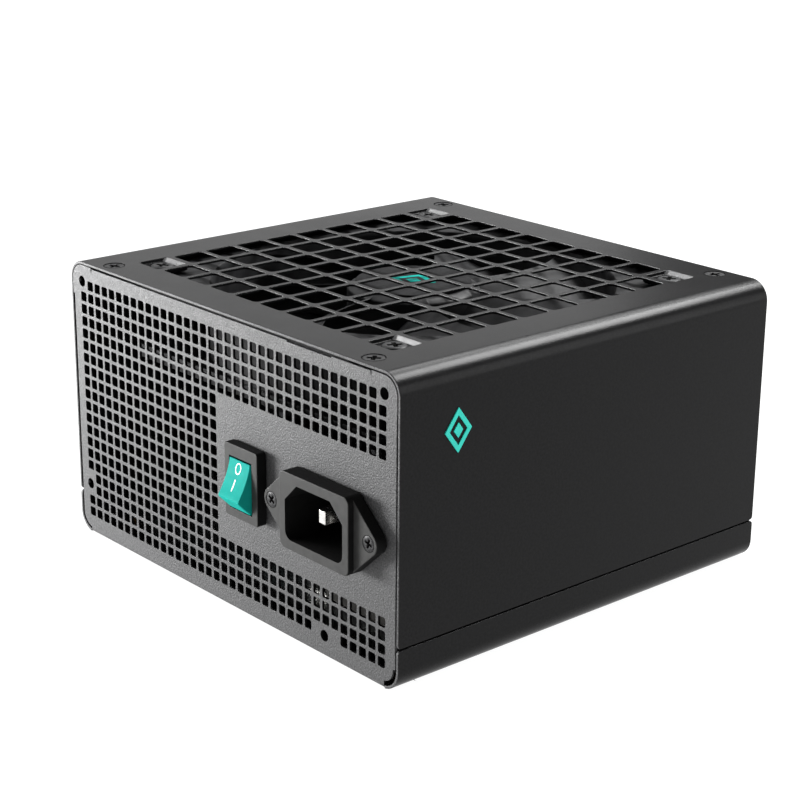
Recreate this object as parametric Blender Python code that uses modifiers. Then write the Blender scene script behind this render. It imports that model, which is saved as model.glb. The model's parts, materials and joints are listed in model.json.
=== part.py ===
"""Computer power supply unit, ATX size, with a 120 mm top fan, a mains inlet and a rocker switch.

Frame: X is the width, Y the depth with the mains panel at -Y, +Z up through the fan grille.
The origin is the centre of the bottom face. Sizes below are millimetres, meshes are metres.
"""
import math

import bmesh
import bpy
from mathutils import Matrix, Vector

MM = 0.001
GAP = 0.3                   # air between neighbouring pieces

# Housing
WIDTH, DEPTH, HEIGHT = 150.0, 140.0, 86.0
SHEET = 0.8                 # steel thickness
CORNER = 6.0                # outer radius of the four long edges
SEAM_Z = 12.5               # height of the seam between cover and tray
SEAM_GAP = 0.5
FLANGE_LOW, FLANGE_TOP = 8.0, 17.0  # inner flange of the tray, behind the seam
FLANGE_THICK, FLANGE_END = 1.0, 68.8
PANEL_RADIUS = CORNER - SHEET - GAP

# Grille in the cover and the dished corners that hold the fan screws
CELL, CELL_PITCH, CELL_ROWS = 10.05, 11.55, 10
POCKET, POCKET_DEPTH = 11.5, 1.5
DIMPLE_DEPTH = 2.3          # dished seat of each cover screw, below the top face
DISH_DEPTH, DISH_RADIUS, SCREW_BORE = 2.0, 3.7, 1.9
COVER_SCREW = (59.0, 65.0)  # X and Y of the cover screws, mirrored to four corners
TAB_TOP = HEIGHT - DIMPLE_DEPTH - GAP
TAB_HALF, TAB_REACH, TAB_HOLE = 8.0, 9.5, 1.8

# Square perforation of the mains panel
HOLE, HOLE_PITCH = 2.8, 3.8
FIRST_HOLE = (-68.392, 79.202)
# Runs of columns, first and last, for each band of rows, first and last
HOLE_BANDS = (
    (0, 0, ((1, 35),)),
    (1, 4, ((0, 36),)),
    (5, 15, ((0, 17),)),
    (16, 17, ((1, 36),)),
    (18, 18, ((0, 36),)),
    (19, 19, ((0, 28), (32, 36))),
)
CASE_SCREW_HOLES = ((-69, 80), (69, 80), (-69, 16), (45, 6))
CASE_SCREW_RADIUS = 1.6
INLET_WINDOW, SWITCH_WINDOW = (13.8, 10.3), (6.7, 10.2)     # half sizes

# Fan
FAN_SIZE, FAN_DEPTH, FAN_HOLE = 120.0, 25.0, 52.5
FAN_TOP = HEIGHT - POCKET_DEPTH - SHEET - GAP
FAN_BOTTOM = FAN_TOP - FAN_DEPTH
FAN_BORE, BLADE_TIP, HUB_RADIUS = 58.5, 56.8, 19.5
BLADES = 7
SHAFT_RADIUS, RUNNING_GAP = 1.5, 0.1

# Mains inlet
INLET_X, INLET_Z = 47.5, 40.6
INLET_EAR_Y, INLET_RIM_Y, INLET_BACK_Y = -73.8, -75.6, -50.0
INLET_SCREW_X = 20.0        # each side of the inlet's centre
EARTH_Z, LIVE_Z = INLET_Z + 0.8, INLET_Z - 3.2
EARTH_TIP, LIVE_TIP, LIVE_X = -72.7, -67.0, 7.0
EARTH_HALF, LIVE_HALF = 1.4, 1.0    # half the thickness of each pin

# Rocker switch
SWITCH_X, SWITCH_Z = 13.3, 40.7
SWITCH_FRONT_Y, SWITCH_BACK_Y = -73.4, -54.0
ROCKER_X, ROCKER_Y, ROCKER_Z = 13.1, -69.4, 40.2    # hinge line, along X
ROCKER_WIDTH, ROCKER_SWING, TRUNNION = 9.3, 8.8, 1.5

# Cable exit in the far panel
EXIT_X, EXIT_Z = -42.0, 30.0
EXIT_WIDTH, EXIT_HEIGHT = 36.0, 24.0

# Circuit board
BOARD_LOW, BOARD_TOP = 6.0, 7.6
BOARD_X, BOARD_Y = 68.0, (-62.0, 64.0)
BOARD_SCREWS = ((-63, -57), (63, -57), (-63, 59), (63, 59))
STANDOFF_RADIUS, FILM_LOW, FILM_THICK = 3.0, 2.2, 0.4
SINK_THICK, SINK_RIB = 3.0, 8.0
PACKAGE_X, PACKAGE_THICK = GAP, 4.5     # power package, clear of its heatsink's face
PARTS_Z = BOARD_TOP + GAP   # underside of what stands on the board

COLOURS = {                 # colour, metallic, roughness
    "cover_paint": ((0.012, 0.012, 0.0125), 0.0, 0.4),
    "panel_paint": ((0.09, 0.09, 0.092), 0.0, 0.5),
    "screw_steel": ((0.05, 0.05, 0.052), 0.8, 0.4),
    "black_plastic": ((0.02, 0.02, 0.022), 0.0, 0.45),
    "grey_plastic": ((0.055, 0.055, 0.054), 0.0, 0.5),
    "rocker_teal": ((0.03, 0.62, 0.5), 0.0, 0.35),
    "plated_metal": ((0.75, 0.75, 0.73), 1.0, 0.25),
    "brass": ((0.7, 0.5, 0.2), 1.0, 0.35),
    "black_anodised": ((0.03, 0.03, 0.032), 0.6, 0.45),
    "board_black": ((0.012, 0.014, 0.015), 0.0, 0.5),
    "insulating_film": ((0.03, 0.03, 0.03), 0.0, 0.5),
    "copper_wire": ((0.3, 0.1, 0.035), 0.9, 0.4),
    "dark_tape": ((0.03, 0.028, 0.024), 0.0, 0.5),
    "sleeve_black": ((0.03, 0.03, 0.04), 0.0, 0.3),
    "magnet_grey": ((0.1, 0.1, 0.1), 0.4, 0.6),
    "label_black": ((0.03, 0.03, 0.032), 0.0, 0.5),
}

for old in list(bpy.data.objects):
    bpy.data.objects.remove(old, do_unlink=True)
PARTS = bpy.data.collections.new("power_supply_unit")
CUTTERS = bpy.data.collections.new("cutters")
bpy.context.scene.collection.children.link(PARTS)
bpy.context.scene.collection.children.link(CUTTERS)


# ---------------------------------------------------------------- tools

def material(name):
    """Returns the named finish, made on first use."""
    found = bpy.data.materials.get(name)
    if found:
        return found
    colour, metallic, roughness = COLOURS[name]
    made = bpy.data.materials.new(name)
    made.use_nodes = True
    shader = made.node_tree.nodes["Principled BSDF"]
    shader.inputs["Base Color"].default_value = (*colour, 1.0)
    shader.inputs["Metallic"].default_value = metallic
    shader.inputs["Roughness"].default_value = roughness
    made.diffuse_color = (*colour, 1.0)
    return made


def place(obj, finish):
    """Files an object as a part with this finish, or as a cutter when the finish is None."""
    for collection in list(obj.users_collection):
        collection.objects.unlink(obj)
    if finish is None:
        CUTTERS.objects.link(obj)
        obj.hide_render = True
        obj.display_type = "WIRE"
    else:
        PARTS.objects.link(obj)
        obj.data.materials.append(material(finish).copy())
        obj.data.materials[0].name = obj.name + "_" + finish
    return obj


def from_bmesh(name, bm, finish):
    """Makes an object of a finished bmesh."""
    mesh = bpy.data.meshes.new(name)
    bm.to_mesh(mesh)
    bm.free()
    return place(bpy.data.objects.new(name, mesh), finish)


def boxes(name, corner_pairs, finish=None):
    """Boxes that don't meet, each given by its lowest and highest corners."""
    bm = bmesh.new()
    for low, high in corner_pairs:
        low, high = Vector(low) * MM, Vector(high) * MM
        size = Matrix.Diagonal((*(high - low), 1.0))
        bmesh.ops.create_cube(bm, size=1.0, matrix=Matrix.Translation((low + high) / 2) @ size)
    return from_bmesh(name, bm, finish)


def rods(name, spans, radius, finish=None, segments=16, end_radius=None):
    """Round bars that don't meet, each given by its start and end points."""
    bm = bmesh.new()
    for start, end in spans:
        start, end = Vector(start) * MM, Vector(end) * MM
        turn = (end - start).to_track_quat("Z", "Y").to_matrix().to_4x4()
        bmesh.ops.create_cone(
            bm, cap_ends=True, segments=segments, radius1=radius * MM,
            radius2=(radius if end_radius is None else end_radius) * MM,
            depth=(end - start).length, matrix=Matrix.Translation((start + end) / 2) @ turn)
    return from_bmesh(name, bm, finish)


def plate(name, outline, low, high, finish=None, along="Y"):
    """A flat outline made thick from low to high along an axis.

    The outline's points are (x, z) for Y, (x, y) for Z and (y, z) for X.
    """
    curve = bpy.data.curves.new(name, "CURVE")
    curve.dimensions = "2D"
    curve.fill_mode = "BOTH"
    curve.extrude = (high - low) / 2 * MM
    spline = curve.splines.new("POLY")
    spline.points.add(len(outline) - 1)
    for point, (across, up) in zip(spline.points, outline):
        point.co = (across * MM, up * MM, 0.0, 1.0)
    spline.use_cyclic_u = True
    guide = bpy.data.objects.new(name + "_curve", curve)
    bpy.context.scene.collection.objects.link(guide)
    bpy.context.view_layer.update()
    evaluated = guide.evaluated_get(bpy.context.evaluated_depsgraph_get())
    mesh = bpy.data.meshes.new_from_object(evaluated)
    bpy.data.objects.remove(guide, do_unlink=True)
    middle = (low + high) / 2 * MM
    if along == "Y":
        turn = Matrix.Translation((0, middle, 0)) @ Matrix.Rotation(math.pi / 2, 4, "X")
    elif along == "Z":
        turn = Matrix.Translation((0, 0, middle))
    else:
        turn = Matrix.Translation((middle, 0, 0)) @ Matrix(
            ((0, 0, 1, 0), (1, 0, 0, 0), (0, 1, 0, 0), (0, 0, 0, 1)))
    bm = bmesh.new()
    bm.from_mesh(mesh)
    bpy.data.meshes.remove(mesh)
    bmesh.ops.remove_doubles(bm, verts=bm.verts, dist=0.00001)
    bmesh.ops.dissolve_limit(bm, angle_limit=math.radians(1), verts=bm.verts, edges=bm.edges)
    bmesh.ops.transform(bm, matrix=turn, verts=bm.verts)
    bmesh.ops.recalc_face_normals(bm, faces=bm.faces)
    return from_bmesh(name, bm, finish)


def turned(name, profile, centre, finish=None, steps=24, closed=False):
    """A turned shape about a vertical line through centre, from (radius, z) points, top first."""
    bm = bmesh.new()
    corners = [bm.verts.new((radius * MM, 0.0, z * MM)) for radius, z in profile]
    for upper, lower in zip(corners, corners[1:]):
        bm.edges.new((upper, lower))
    if closed:
        bm.edges.new((corners[-1], corners[0]))
    obj = from_bmesh(name, bm, finish)
    obj.location = (centre[0] * MM, centre[1] * MM, 0.0)
    screw = obj.modifiers.new("turn", "SCREW")
    screw.steps = screw.render_steps = steps
    screw.use_merge_vertices = True
    screw.merge_threshold = 0.00001
    screw.use_smooth_shade = False
    return obj


def boolean(obj, other, operation):
    """Adds one exact Boolean of a guide object."""
    step = obj.modifiers.new(operation.lower(), "BOOLEAN")
    step.operation = operation
    step.object = other
    step.solver = "EXACT"
    return obj


def cut(obj, *cutters):
    """Takes each cutter away from the object."""
    for cutter in cutters:
        boolean(obj, cutter, "DIFFERENCE")
    return obj


def add(obj, *others):
    """Joins each guide to the object."""
    for other in others:
        boolean(obj, other, "UNION")
    return obj


def arc(centre, radius, first, last, segments):
    """Points on an arc, with its angles in degrees."""
    angles = [math.radians(first + (last - first) * i / segments) for i in range(segments + 1)]
    return [(centre[0] + radius * math.cos(a), centre[1] + radius * math.sin(a)) for a in angles]


def rounded(centre, width, height, radius, segments=3):
    """Outline of a rectangle with round corners."""
    points = []
    for quarter, (sx, sy) in enumerate(((1, 1), (-1, 1), (-1, -1), (1, -1))):
        middle = (centre[0] + sx * (width / 2 - radius), centre[1] + sy * (height / 2 - radius))
        points += arc(middle, radius, 90 * quarter, 90 * quarter + 90, segments)
    return points


def sagging(start, end, sag, segments):
    """Points of a shallow arc from start to end, bowed to the left of the way it goes."""
    start, end = Vector(start), Vector(end)
    along = end - start
    left = Vector((-along.y, along.x)).normalized()
    return [tuple(start + along * t + left * 4 * sag * t * (1 - t))
            for t in (i / segments for i in range(segments + 1))]


def four_corners(x, y):
    """The four mirror images of a point."""
    return [(sx * x, sy * y) for sy in (-1, 1) for sx in (-1, 1)]


# ---------------------------------------------------------------- housing

def u_sheet(name, path, finish):
    """A bent sheet: a section path (x, z) drawn along the depth, made thick inwards."""
    bm = bmesh.new()
    ends = [bm.verts.new((x * MM, -DEPTH / 2 * MM, z * MM)) for x, z in path]
    edges = [bm.edges.new(pair) for pair in zip(ends, ends[1:])]
    drawn = bmesh.ops.extrude_edge_only(bm, edges=edges)["geom"]
    far = [item for item in drawn if isinstance(item, bmesh.types.BMVert)]
    bmesh.ops.translate(bm, verts=far, vec=(0, DEPTH * MM, 0))
    sheet = from_bmesh(name, bm, finish)
    solidify = sheet.modifiers.new("sheet", "SOLIDIFY")
    solidify.thickness = SHEET * MM
    solidify.offset = 1.0
    return sheet


def top_cover():
    """Top and both sides, with the fan grille, screw pockets and dimples."""
    side, shoulder = WIDTH / 2, HEIGHT - CORNER
    low = SEAM_Z + SEAM_GAP / 2
    path = [(-side, low)] + arc((CORNER - side, shoulder), CORNER, 180, 90, 4)
    path += arc((side - CORNER, shoulder), CORNER, 90, 0, 4) + [(side, low)]
    cover = u_sheet("top_cover", path, "cover_paint")

    under = HEIGHT - SHEET / 2
    floor = HEIGHT - POCKET_DEPTH
    half, wall = POCKET / 2, POCKET / 2 + SHEET
    fan_corners = four_corners(FAN_HOLE, FAN_HOLE)
    dishes = boxes("pocket_walls", [
        ((x - wall, y - wall, floor - SHEET), (x + wall, y + wall, under)) for x, y in fan_corners])
    pockets = boxes("pocket_hollows", [
        ((x - half, y - half, floor), (x + half, y + half, HEIGHT + 1)) for x, y in fan_corners])
    fan_holes = rods("fan_screw_holes", [
        ((x, y, floor - 2), (x, y, floor + 0.5)) for x, y in fan_corners], 2.1, segments=12)

    screws = four_corners(*COVER_SCREW)
    seat = HEIGHT - DIMPLE_DEPTH
    seats = rods("screw_seats", [((x, y, seat), (x, y, under)) for x, y in screws], 2.7,
                 end_radius=4.7, segments=12)
    cones = rods("screw_cones", [
        ((x, y, HEIGHT - DISH_DEPTH), (x, y, HEIGHT + 0.1)) for x, y in screws],
        SCREW_BORE, end_radius=DISH_RADIUS, segments=12)
    bores = rods("screw_bores", [
        ((x, y, seat - 1), (x, y, HEIGHT - DISH_DEPTH + 0.2)) for x, y in screws],
        SCREW_BORE, segments=12)

    centres = [(i - (CELL_ROWS - 1) / 2) * CELL_PITCH for i in range(CELL_ROWS)]
    corner = max(centres)
    cells = boxes("grille_cells", [
        ((x - CELL / 2, y - CELL / 2, HEIGHT - 2), (x + CELL / 2, y + CELL / 2, HEIGHT + 1))
        for x in centres for y in centres if abs(x) < corner or abs(y) < corner])
    add(cover, dishes, seats)
    cut(cover, pockets, fan_holes, cones, bores, cells)


def base_tray():
    """Bottom and both low sides, with the inner flanges that the cover slides over."""
    side = WIDTH / 2
    high = SEAM_Z - SEAM_GAP / 2
    path = [(side, high)] + arc((side - CORNER, CORNER), CORNER, 0, -90, 4)
    path += arc((CORNER - side, CORNER), CORNER, -90, -180, 4) + [(-side, high)]
    tray = u_sheet("base_tray", path, "panel_paint")
    root, outer = side - SHEET + 0.1, side - SHEET - GAP
    inner = outer - FLANGE_THICK
    flange = [(inner, FLANGE_LOW), (root, FLANGE_LOW), (root, high - GAP), (outer, high - GAP),
              (outer, FLANGE_TOP), (inner, FLANGE_TOP)]
    mirrored = [(-x, z) for x, z in reversed(flange)]
    add(tray, plate("right_flange", flange, -FLANGE_END, FLANGE_END),
        plate("left_flange", mirrored, -FLANGE_END, FLANGE_END))
    holes = [((x, y, -1), (x, y, 2)) for x, y in BOARD_SCREWS]
    cut(tray, rods("tray_screw_holes", holes, 1.9))


def end_panel(name, outer_y, inner_y, finish):
    """A flat end wall that fills the housing's section, with two tabs for the cover screws."""
    middle = (0.0, HEIGHT / 2)
    wide = WIDTH - 2 * (SHEET + GAP)
    high = HEIGHT - 2 * (SHEET + GAP)
    panel = plate(name, rounded(middle, wide, high, PANEL_RADIUS), min(outer_y, inner_y),
                  max(outer_y, inner_y), finish)
    facing = 1 if inner_y > outer_y else -1
    ends = sorted((outer_y + facing * SHEET / 2, outer_y + facing * TAB_REACH))
    tabs = [((x - TAB_HALF, ends[0], TAB_TOP - SHEET), (x + TAB_HALF, ends[1], TAB_TOP))
            for x in (-COVER_SCREW[0], COVER_SCREW[0])]
    add(panel, boxes(name + "_tabs", tabs))
    screw_y = math.copysign(COVER_SCREW[1], outer_y)
    holes = [((x, screw_y, TAB_TOP - 2), (x, screw_y, TAB_TOP + 1))
             for x in (-COVER_SCREW[0], COVER_SCREW[0])]
    cut(panel, rods(name + "_tab_holes", holes, TAB_HOLE))
    return panel


def rear_panel():
    """Mains panel: square perforation, case screw holes, inlet and switch openings."""
    outer, inner = -DEPTH / 2, -DEPTH / 2 + SHEET
    panel = end_panel("rear_panel", outer, inner, "panel_paint")
    half = HOLE / 2
    holes = []
    for first_row, last_row, runs in HOLE_BANDS:
        for row in range(first_row, last_row + 1):
            z = FIRST_HOLE[1] - HOLE_PITCH * row
            for first, last in runs:
                for column in range(first, last + 1):
                    x = FIRST_HOLE[0] + HOLE_PITCH * column
                    holes.append(((x - half, outer - 1, z - half), (x + half, inner + 1, z + half)))
    windows = boxes("inlet_and_switch_windows", [
        ((x - wide, outer - 1, z - tall), (x + wide, inner + 1, z + tall))
        for x, z, (wide, tall) in ((INLET_X, INLET_Z, INLET_WINDOW), (SWITCH_X, SWITCH_Z, SWITCH_WINDOW))])
    case_holes = rods("case_screw_holes", [
        ((x, outer - 1, z), (x, inner + 1, z)) for x, z in CASE_SCREW_HOLES],
        CASE_SCREW_RADIUS, segments=10)
    ear_holes = rods("ear_screw_holes", [
        ((INLET_X + side * INLET_SCREW_X, outer - 1, INLET_Z),
         (INLET_X + side * INLET_SCREW_X, inner + 1, INLET_Z)) for side in (-1, 1)], 2.0, segments=10)
    cut(panel, boxes("perforation", holes), windows, case_holes, ear_holes)


def front_panel():
    """Far wall: the cable opening and a row of air slots."""
    outer, inner = DEPTH / 2, DEPTH / 2 - SHEET
    panel = end_panel("front_panel", outer, inner, "panel_paint")
    window = plate("cable_window", rounded((EXIT_X, EXIT_Z), EXIT_WIDTH, EXIT_HEIGHT, 4.0),
                   inner - 1, outer + 1)
    slots = [((x - 1.25, inner - 1, 26), (x + 1.25, outer + 1, 50)) for x in range(0, 61, 6)]
    cut(panel, window, boxes("air_slots", slots))


def cable_grommet():
    """Plastic bushing that lines the cable opening."""
    outer, inner = DEPTH / 2, DEPTH / 2 - SHEET
    centre = (EXIT_X, EXIT_Z)
    flange = plate("cable_grommet", rounded(centre, EXIT_WIDTH + 4, EXIT_HEIGHT + 4, 5.5),
                   outer + GAP, outer + GAP + 1.6, "black_plastic")
    neck = plate("grommet_neck", rounded(centre, EXIT_WIDTH - 2 * GAP, EXIT_HEIGHT - 2 * GAP, 3.7),
                 inner - 4, outer + 1)
    hollow = plate("grommet_hollow", rounded(centre, EXIT_WIDTH - 4, EXIT_HEIGHT - 4, 2.5),
                   inner - 6, outer + 4)
    cut(add(flange, neck), hollow)


# ---------------------------------------------------------------- screws

def cross_recess(screw, top, arm, width, depth):
    """Cutter of a cross slot in a screw head, which moves with its screw."""
    half, thin = arm / 2, width / 2
    bars = [boxes("%s_slot_%d" % (screw.name, number),
                  [((-wide, -deep, top - depth), (wide, deep, top + 1))])
            for number, (wide, deep) in enumerate(((half, thin), (thin, half)))]
    for bar in bars:
        bar.parent = screw
    return add(*bars)


def upright_screw(name, x, y, head, length, finish="screw_steel", recess=None):
    """A screw on a vertical line; head is its (radius, z) outline from the top centre down."""
    tip = head[-1][1] - length
    screw = turned(name, head + [(head[-1][0], tip), (0.0, tip)], (x, y), finish, steps=10)
    if recess:
        cut(screw, cross_recess(screw, head[0][1], *recess))
    return screw


def housing_screws():
    """Countersunk cover screws and pan-head fan screws."""
    top = HEIGHT - 0.5
    for number, (x, y) in enumerate(four_corners(*COVER_SCREW), 1):
        head = [(0.0, top), (2.85, top), (1.4, top - 1.7)]
        upright_screw("cover_screw_%d" % number, x, y, head, 5.0, recess=(3.4, 0.9, 0.9))
    seat = HEIGHT - POCKET_DEPTH + GAP
    for number, (x, y) in enumerate(four_corners(FAN_HOLE, FAN_HOLE), 1):
        head = [(0.0, seat + 0.5), (3.0, seat + 0.5), (3.3, seat + 0.2), (3.3, seat), (1.8, seat)]
        upright_screw("fan_screw_%d" % number, x, y, head, 9.0, recess=(3.6, 1.0, 0.4))


# ---------------------------------------------------------------- fan

def fan_frame():
    """Square frame with a round duct, and the strut-held base that carries the bearing tube."""
    low, high = FAN_BOTTOM, FAN_TOP
    frame = plate("fan_frame", rounded((0, 0), FAN_SIZE, FAN_SIZE, 7.0), low, high,
                  "black_plastic", along="Z")
    duct = rods("fan_duct", [((0, 0, low - 1), (0, 0, high + 1))], FAN_BORE, segments=40)
    waist = boxes("fan_waist", [((-70, -70, low + 4), (70, 70, high - 4))])
    cut(waist, rods("fan_wall", [((0, 0, low), (0, 0, high))], FAN_BORE + 1.2, segments=40))
    holes = rods("fan_frame_holes", [((x, y, low - 1), (x, y, high + 1))
                                     for x, y in four_corners(FAN_HOLE, FAN_HOLE)], 2.3, segments=10)
    base = turned("fan_base", [(0.0, low + 2.6), (20.0, low + 2.6), (20.0, low), (0.0, low)],
                  (0, 0))
    tube = rods("bearing_tube", [((0, 0, low + 1), (0, 0, high - 6))], 5.2)
    bore = rods("bearing_bore", [((0, 0, low - 1), (0, 0, high + 1))], 4.2)
    struts = boxes("fan_struts", [
        ((19.0, -2, low), (59.2, 2, low + 2.6)), ((-59.2, -2, low), (-19.0, 2, low + 2.6)),
        ((-2, 19.0, low), (2, 59.2, low + 2.6)), ((-2, -59.2, low), (2, -19.0, low + 2.6))])
    cut(frame, duct, waist, holes)
    cut(add(frame, base, struts, tube), bore)


def fan_blade(number):
    """One screw-shaped blade, swept forwards towards its tip."""
    low, high = FAN_BOTTOM + 6.5, FAN_TOP - 2.0
    half_angle, sweep = math.radians(22.5), math.radians(14)
    root, tip = HUB_RADIUS - 0.8, BLADE_TIP
    bm = bmesh.new()
    bmesh.ops.create_grid(bm, x_segments=4, y_segments=4, size=0.5)
    for vert in bm.verts:
        out, chord = vert.co.x + 0.5, vert.co.y
        radius = root + (tip - root) * out
        angle = 2 * math.pi * number / BLADES + sweep * out * out + 2 * half_angle * chord
        z = (low + high) / 2 + (high - low) * chord
        vert.co = (radius * math.cos(angle) * MM, radius * math.sin(angle) * MM, z * MM)
    blade = from_bmesh("blade_%d" % number, bm, None)
    solidify = blade.modifiers.new("blade", "SOLIDIFY")
    solidify.thickness = 1.4 * MM
    solidify.offset = 0.0
    return blade


def fan_rotor():
    """Hub cup with its blades, the magnet ring inside it, the shaft and the hub label."""
    top, skirt = FAN_TOP - 1.1, FAN_BOTTOM + 4.6
    wall = 1.5
    profile = [(0.0, top), (HUB_RADIUS - 1.6, top), (HUB_RADIUS, top - 1.6), (HUB_RADIUS, skirt),
               (HUB_RADIUS - wall, skirt), (HUB_RADIUS - wall, top - wall), (0.0, top - wall)]
    rotor = turned("fan_rotor", profile, (0, 0), "black_plastic", steps=28)
    add(rotor, *[fan_blade(number) for number in range(BLADES)])
    inside = HUB_RADIUS - wall - GAP
    ring = [(inside, top - 3), (inside, skirt + 1), (inside - 2, skirt + 1), (inside - 2, top - 3)]
    turned("fan_magnet_ring", ring, (0, 0), "magnet_grey", closed=True)
    shaft = [(0.0, top - wall - GAP), (SHAFT_RADIUS, top - wall - GAP),
             (SHAFT_RADIUS, FAN_BOTTOM + 2), (0.0, FAN_BOTTOM + 2)]
    turned("fan_shaft", shaft, (0, 0), "plated_metal", steps=16)
    label = [(0.0, top + GAP + 0.2), (HUB_RADIUS - 2.5, top + GAP + 0.2),
             (HUB_RADIUS - 2.5, top + GAP), (0.0, top + GAP)]
    turned("fan_hub_label", label, (0, 0), "label_black")


def fan_motor():
    """Bearing sleeve, four-pole stator and the small driver board, all held by the frame."""
    low, high = FAN_BOTTOM, FAN_TOP
    outer, inner = 4.2 - GAP, SHAFT_RADIUS + RUNNING_GAP
    sleeve = [(outer, high - 6.2), (outer, low + 1), (inner, low + 1), (inner, high - 6.2)]
    turned("fan_bearing", sleeve, (0, 0), "brass", steps=16, closed=True)
    core = [(15.2, high - 6.5), (15.2, high - 16), (5.5, high - 16), (5.5, high - 6.5)]
    stator = turned("fan_stator", core, (0, 0), "copper_wire", closed=True)
    slots = boxes("stator_slots", [((7.5, -2.5, high - 20), (20, 2.5, high)),
                                   ((-20, -2.5, high - 20), (-7.5, 2.5, high)),
                                   ((-2.5, 7.5, high - 20), (2.5, 20, high)),
                                   ((-2.5, -20, high - 20), (2.5, -7.5, high))])
    cut(stator, slots)
    card = [(15.0, low + 4.1), (15.0, low + 2.9), (5.5, low + 2.9), (5.5, low + 4.1)]
    turned("fan_driver_board", card, (0, 0), "board_black", closed=True)


# ---------------------------------------------------------------- mains inlet

def ear_outline(ear_radius=3.3, half_width=14.25, half_height=10.8):
    """Flange outline: the rim's rectangle drawn out to a round ear around each screw."""
    reach = Vector((half_width - INLET_SCREW_X, half_height))
    lean = math.atan2(reach.y, reach.x) - math.acos(ear_radius / reach.length)
    swing = math.degrees(lean)
    points = arc((INLET_X + INLET_SCREW_X, INLET_Z), ear_radius, -swing, swing, 5)
    points += [(INLET_X + half_width, INLET_Z + half_height),
               (INLET_X - half_width, INLET_Z + half_height)]
    points += arc((INLET_X - INLET_SCREW_X, INLET_Z), ear_radius, 180 - swing, 180 + swing, 5)
    points += [(INLET_X - half_width, INLET_Z - half_height),
               (INLET_X + half_width, INLET_Z - half_height)]
    return points


def socket_outline(width=23.8, height=16.0, chamfer=5.0, radius=2.5):
    """Socket opening: chamfered at the earth side above, rounded below."""
    right, left = INLET_X + width / 2, INLET_X - width / 2
    top, bottom = INLET_Z + height / 2, INLET_Z - height / 2
    points = [(right, top - chamfer), (right - chamfer, top), (left + chamfer, top),
              (left, top - chamfer)]
    points += arc((left + radius, bottom + radius), radius, 180, 270, 3)
    points += arc((right - radius, bottom + radius), radius, 270, 360, 3)
    return points


def mains_inlet():
    """Moulded inlet shell, its three pins and its two screws."""
    panel_y = -DEPTH / 2
    shell = plate("inlet_shell", ear_outline(), INLET_EAR_Y, panel_y - GAP, "grey_plastic")
    rim = plate("inlet_rim", rounded((INLET_X, INLET_Z), 28.5, 21.6, 2.0), INLET_RIM_Y, panel_y - 2)
    body = boxes("inlet_body", [((INLET_X - 13.4, panel_y - 1, INLET_Z - 9.9),
                                 (INLET_X + 13.4, INLET_BACK_Y, INLET_Z + 9.9))])
    socket = plate("inlet_socket", socket_outline(), INLET_RIM_Y - 1, INLET_BACK_Y - 5)
    pins = {"earth": (INLET_X, EARTH_Z, EARTH_TIP, EARTH_HALF),
            "line": (INLET_X - LIVE_X, LIVE_Z, LIVE_TIP, LIVE_HALF),
            "neutral": (INLET_X + LIVE_X, LIVE_Z, LIVE_TIP, LIVE_HALF)}
    slots = boxes("pin_slots", [((x - half - GAP, INLET_BACK_Y - 7, z - 2 - GAP),
                                 (x + half + GAP, INLET_BACK_Y + 1, z + 2 + GAP))
                                for x, z, _, half in pins.values()])
    ears = [INLET_X - INLET_SCREW_X, INLET_X + INLET_SCREW_X]
    holes = rods("ear_holes", [((x, INLET_EAR_Y - 1, INLET_Z), (x, panel_y, INLET_Z)) for x in ears],
                 1.8, segments=12)
    sinks = rods("ear_sinks", [((x, INLET_EAR_Y - 0.1, INLET_Z), (x, INLET_EAR_Y + 1.4, INLET_Z))
                               for x in ears], 2.8, segments=12, end_radius=1.3)
    cut(add(shell, rim, body), socket, slots, holes, sinks)

    for use, (x, z, tip, half) in pins.items():
        outline = [(x - half + 0.3, tip), (x + half - 0.3, tip), (x + half, tip + 0.5),
                   (x + half, INLET_BACK_Y + 6), (x - half, INLET_BACK_Y + 6), (x - half, tip + 0.5)]
        plate("inlet_pin_" + use, outline, z - 2, z + 2, "plated_metal", along="Z")

    for number, x in enumerate(ears, 1):
        head = [(0.0, 0.0), (2.2, 0.0), (1.3, -1.2)]
        screw = upright_screw("inlet_screw_%d" % number, 0, 0, head, 8.0, recess=(2.6, 0.7, 0.6))
        screw.location = (x * MM, (INLET_EAR_Y + 0.05) * MM, INLET_Z * MM)
        screw.rotation_euler = (math.pi / 2, 0.0, 0.0)


# ---------------------------------------------------------------- rocker switch

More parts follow.
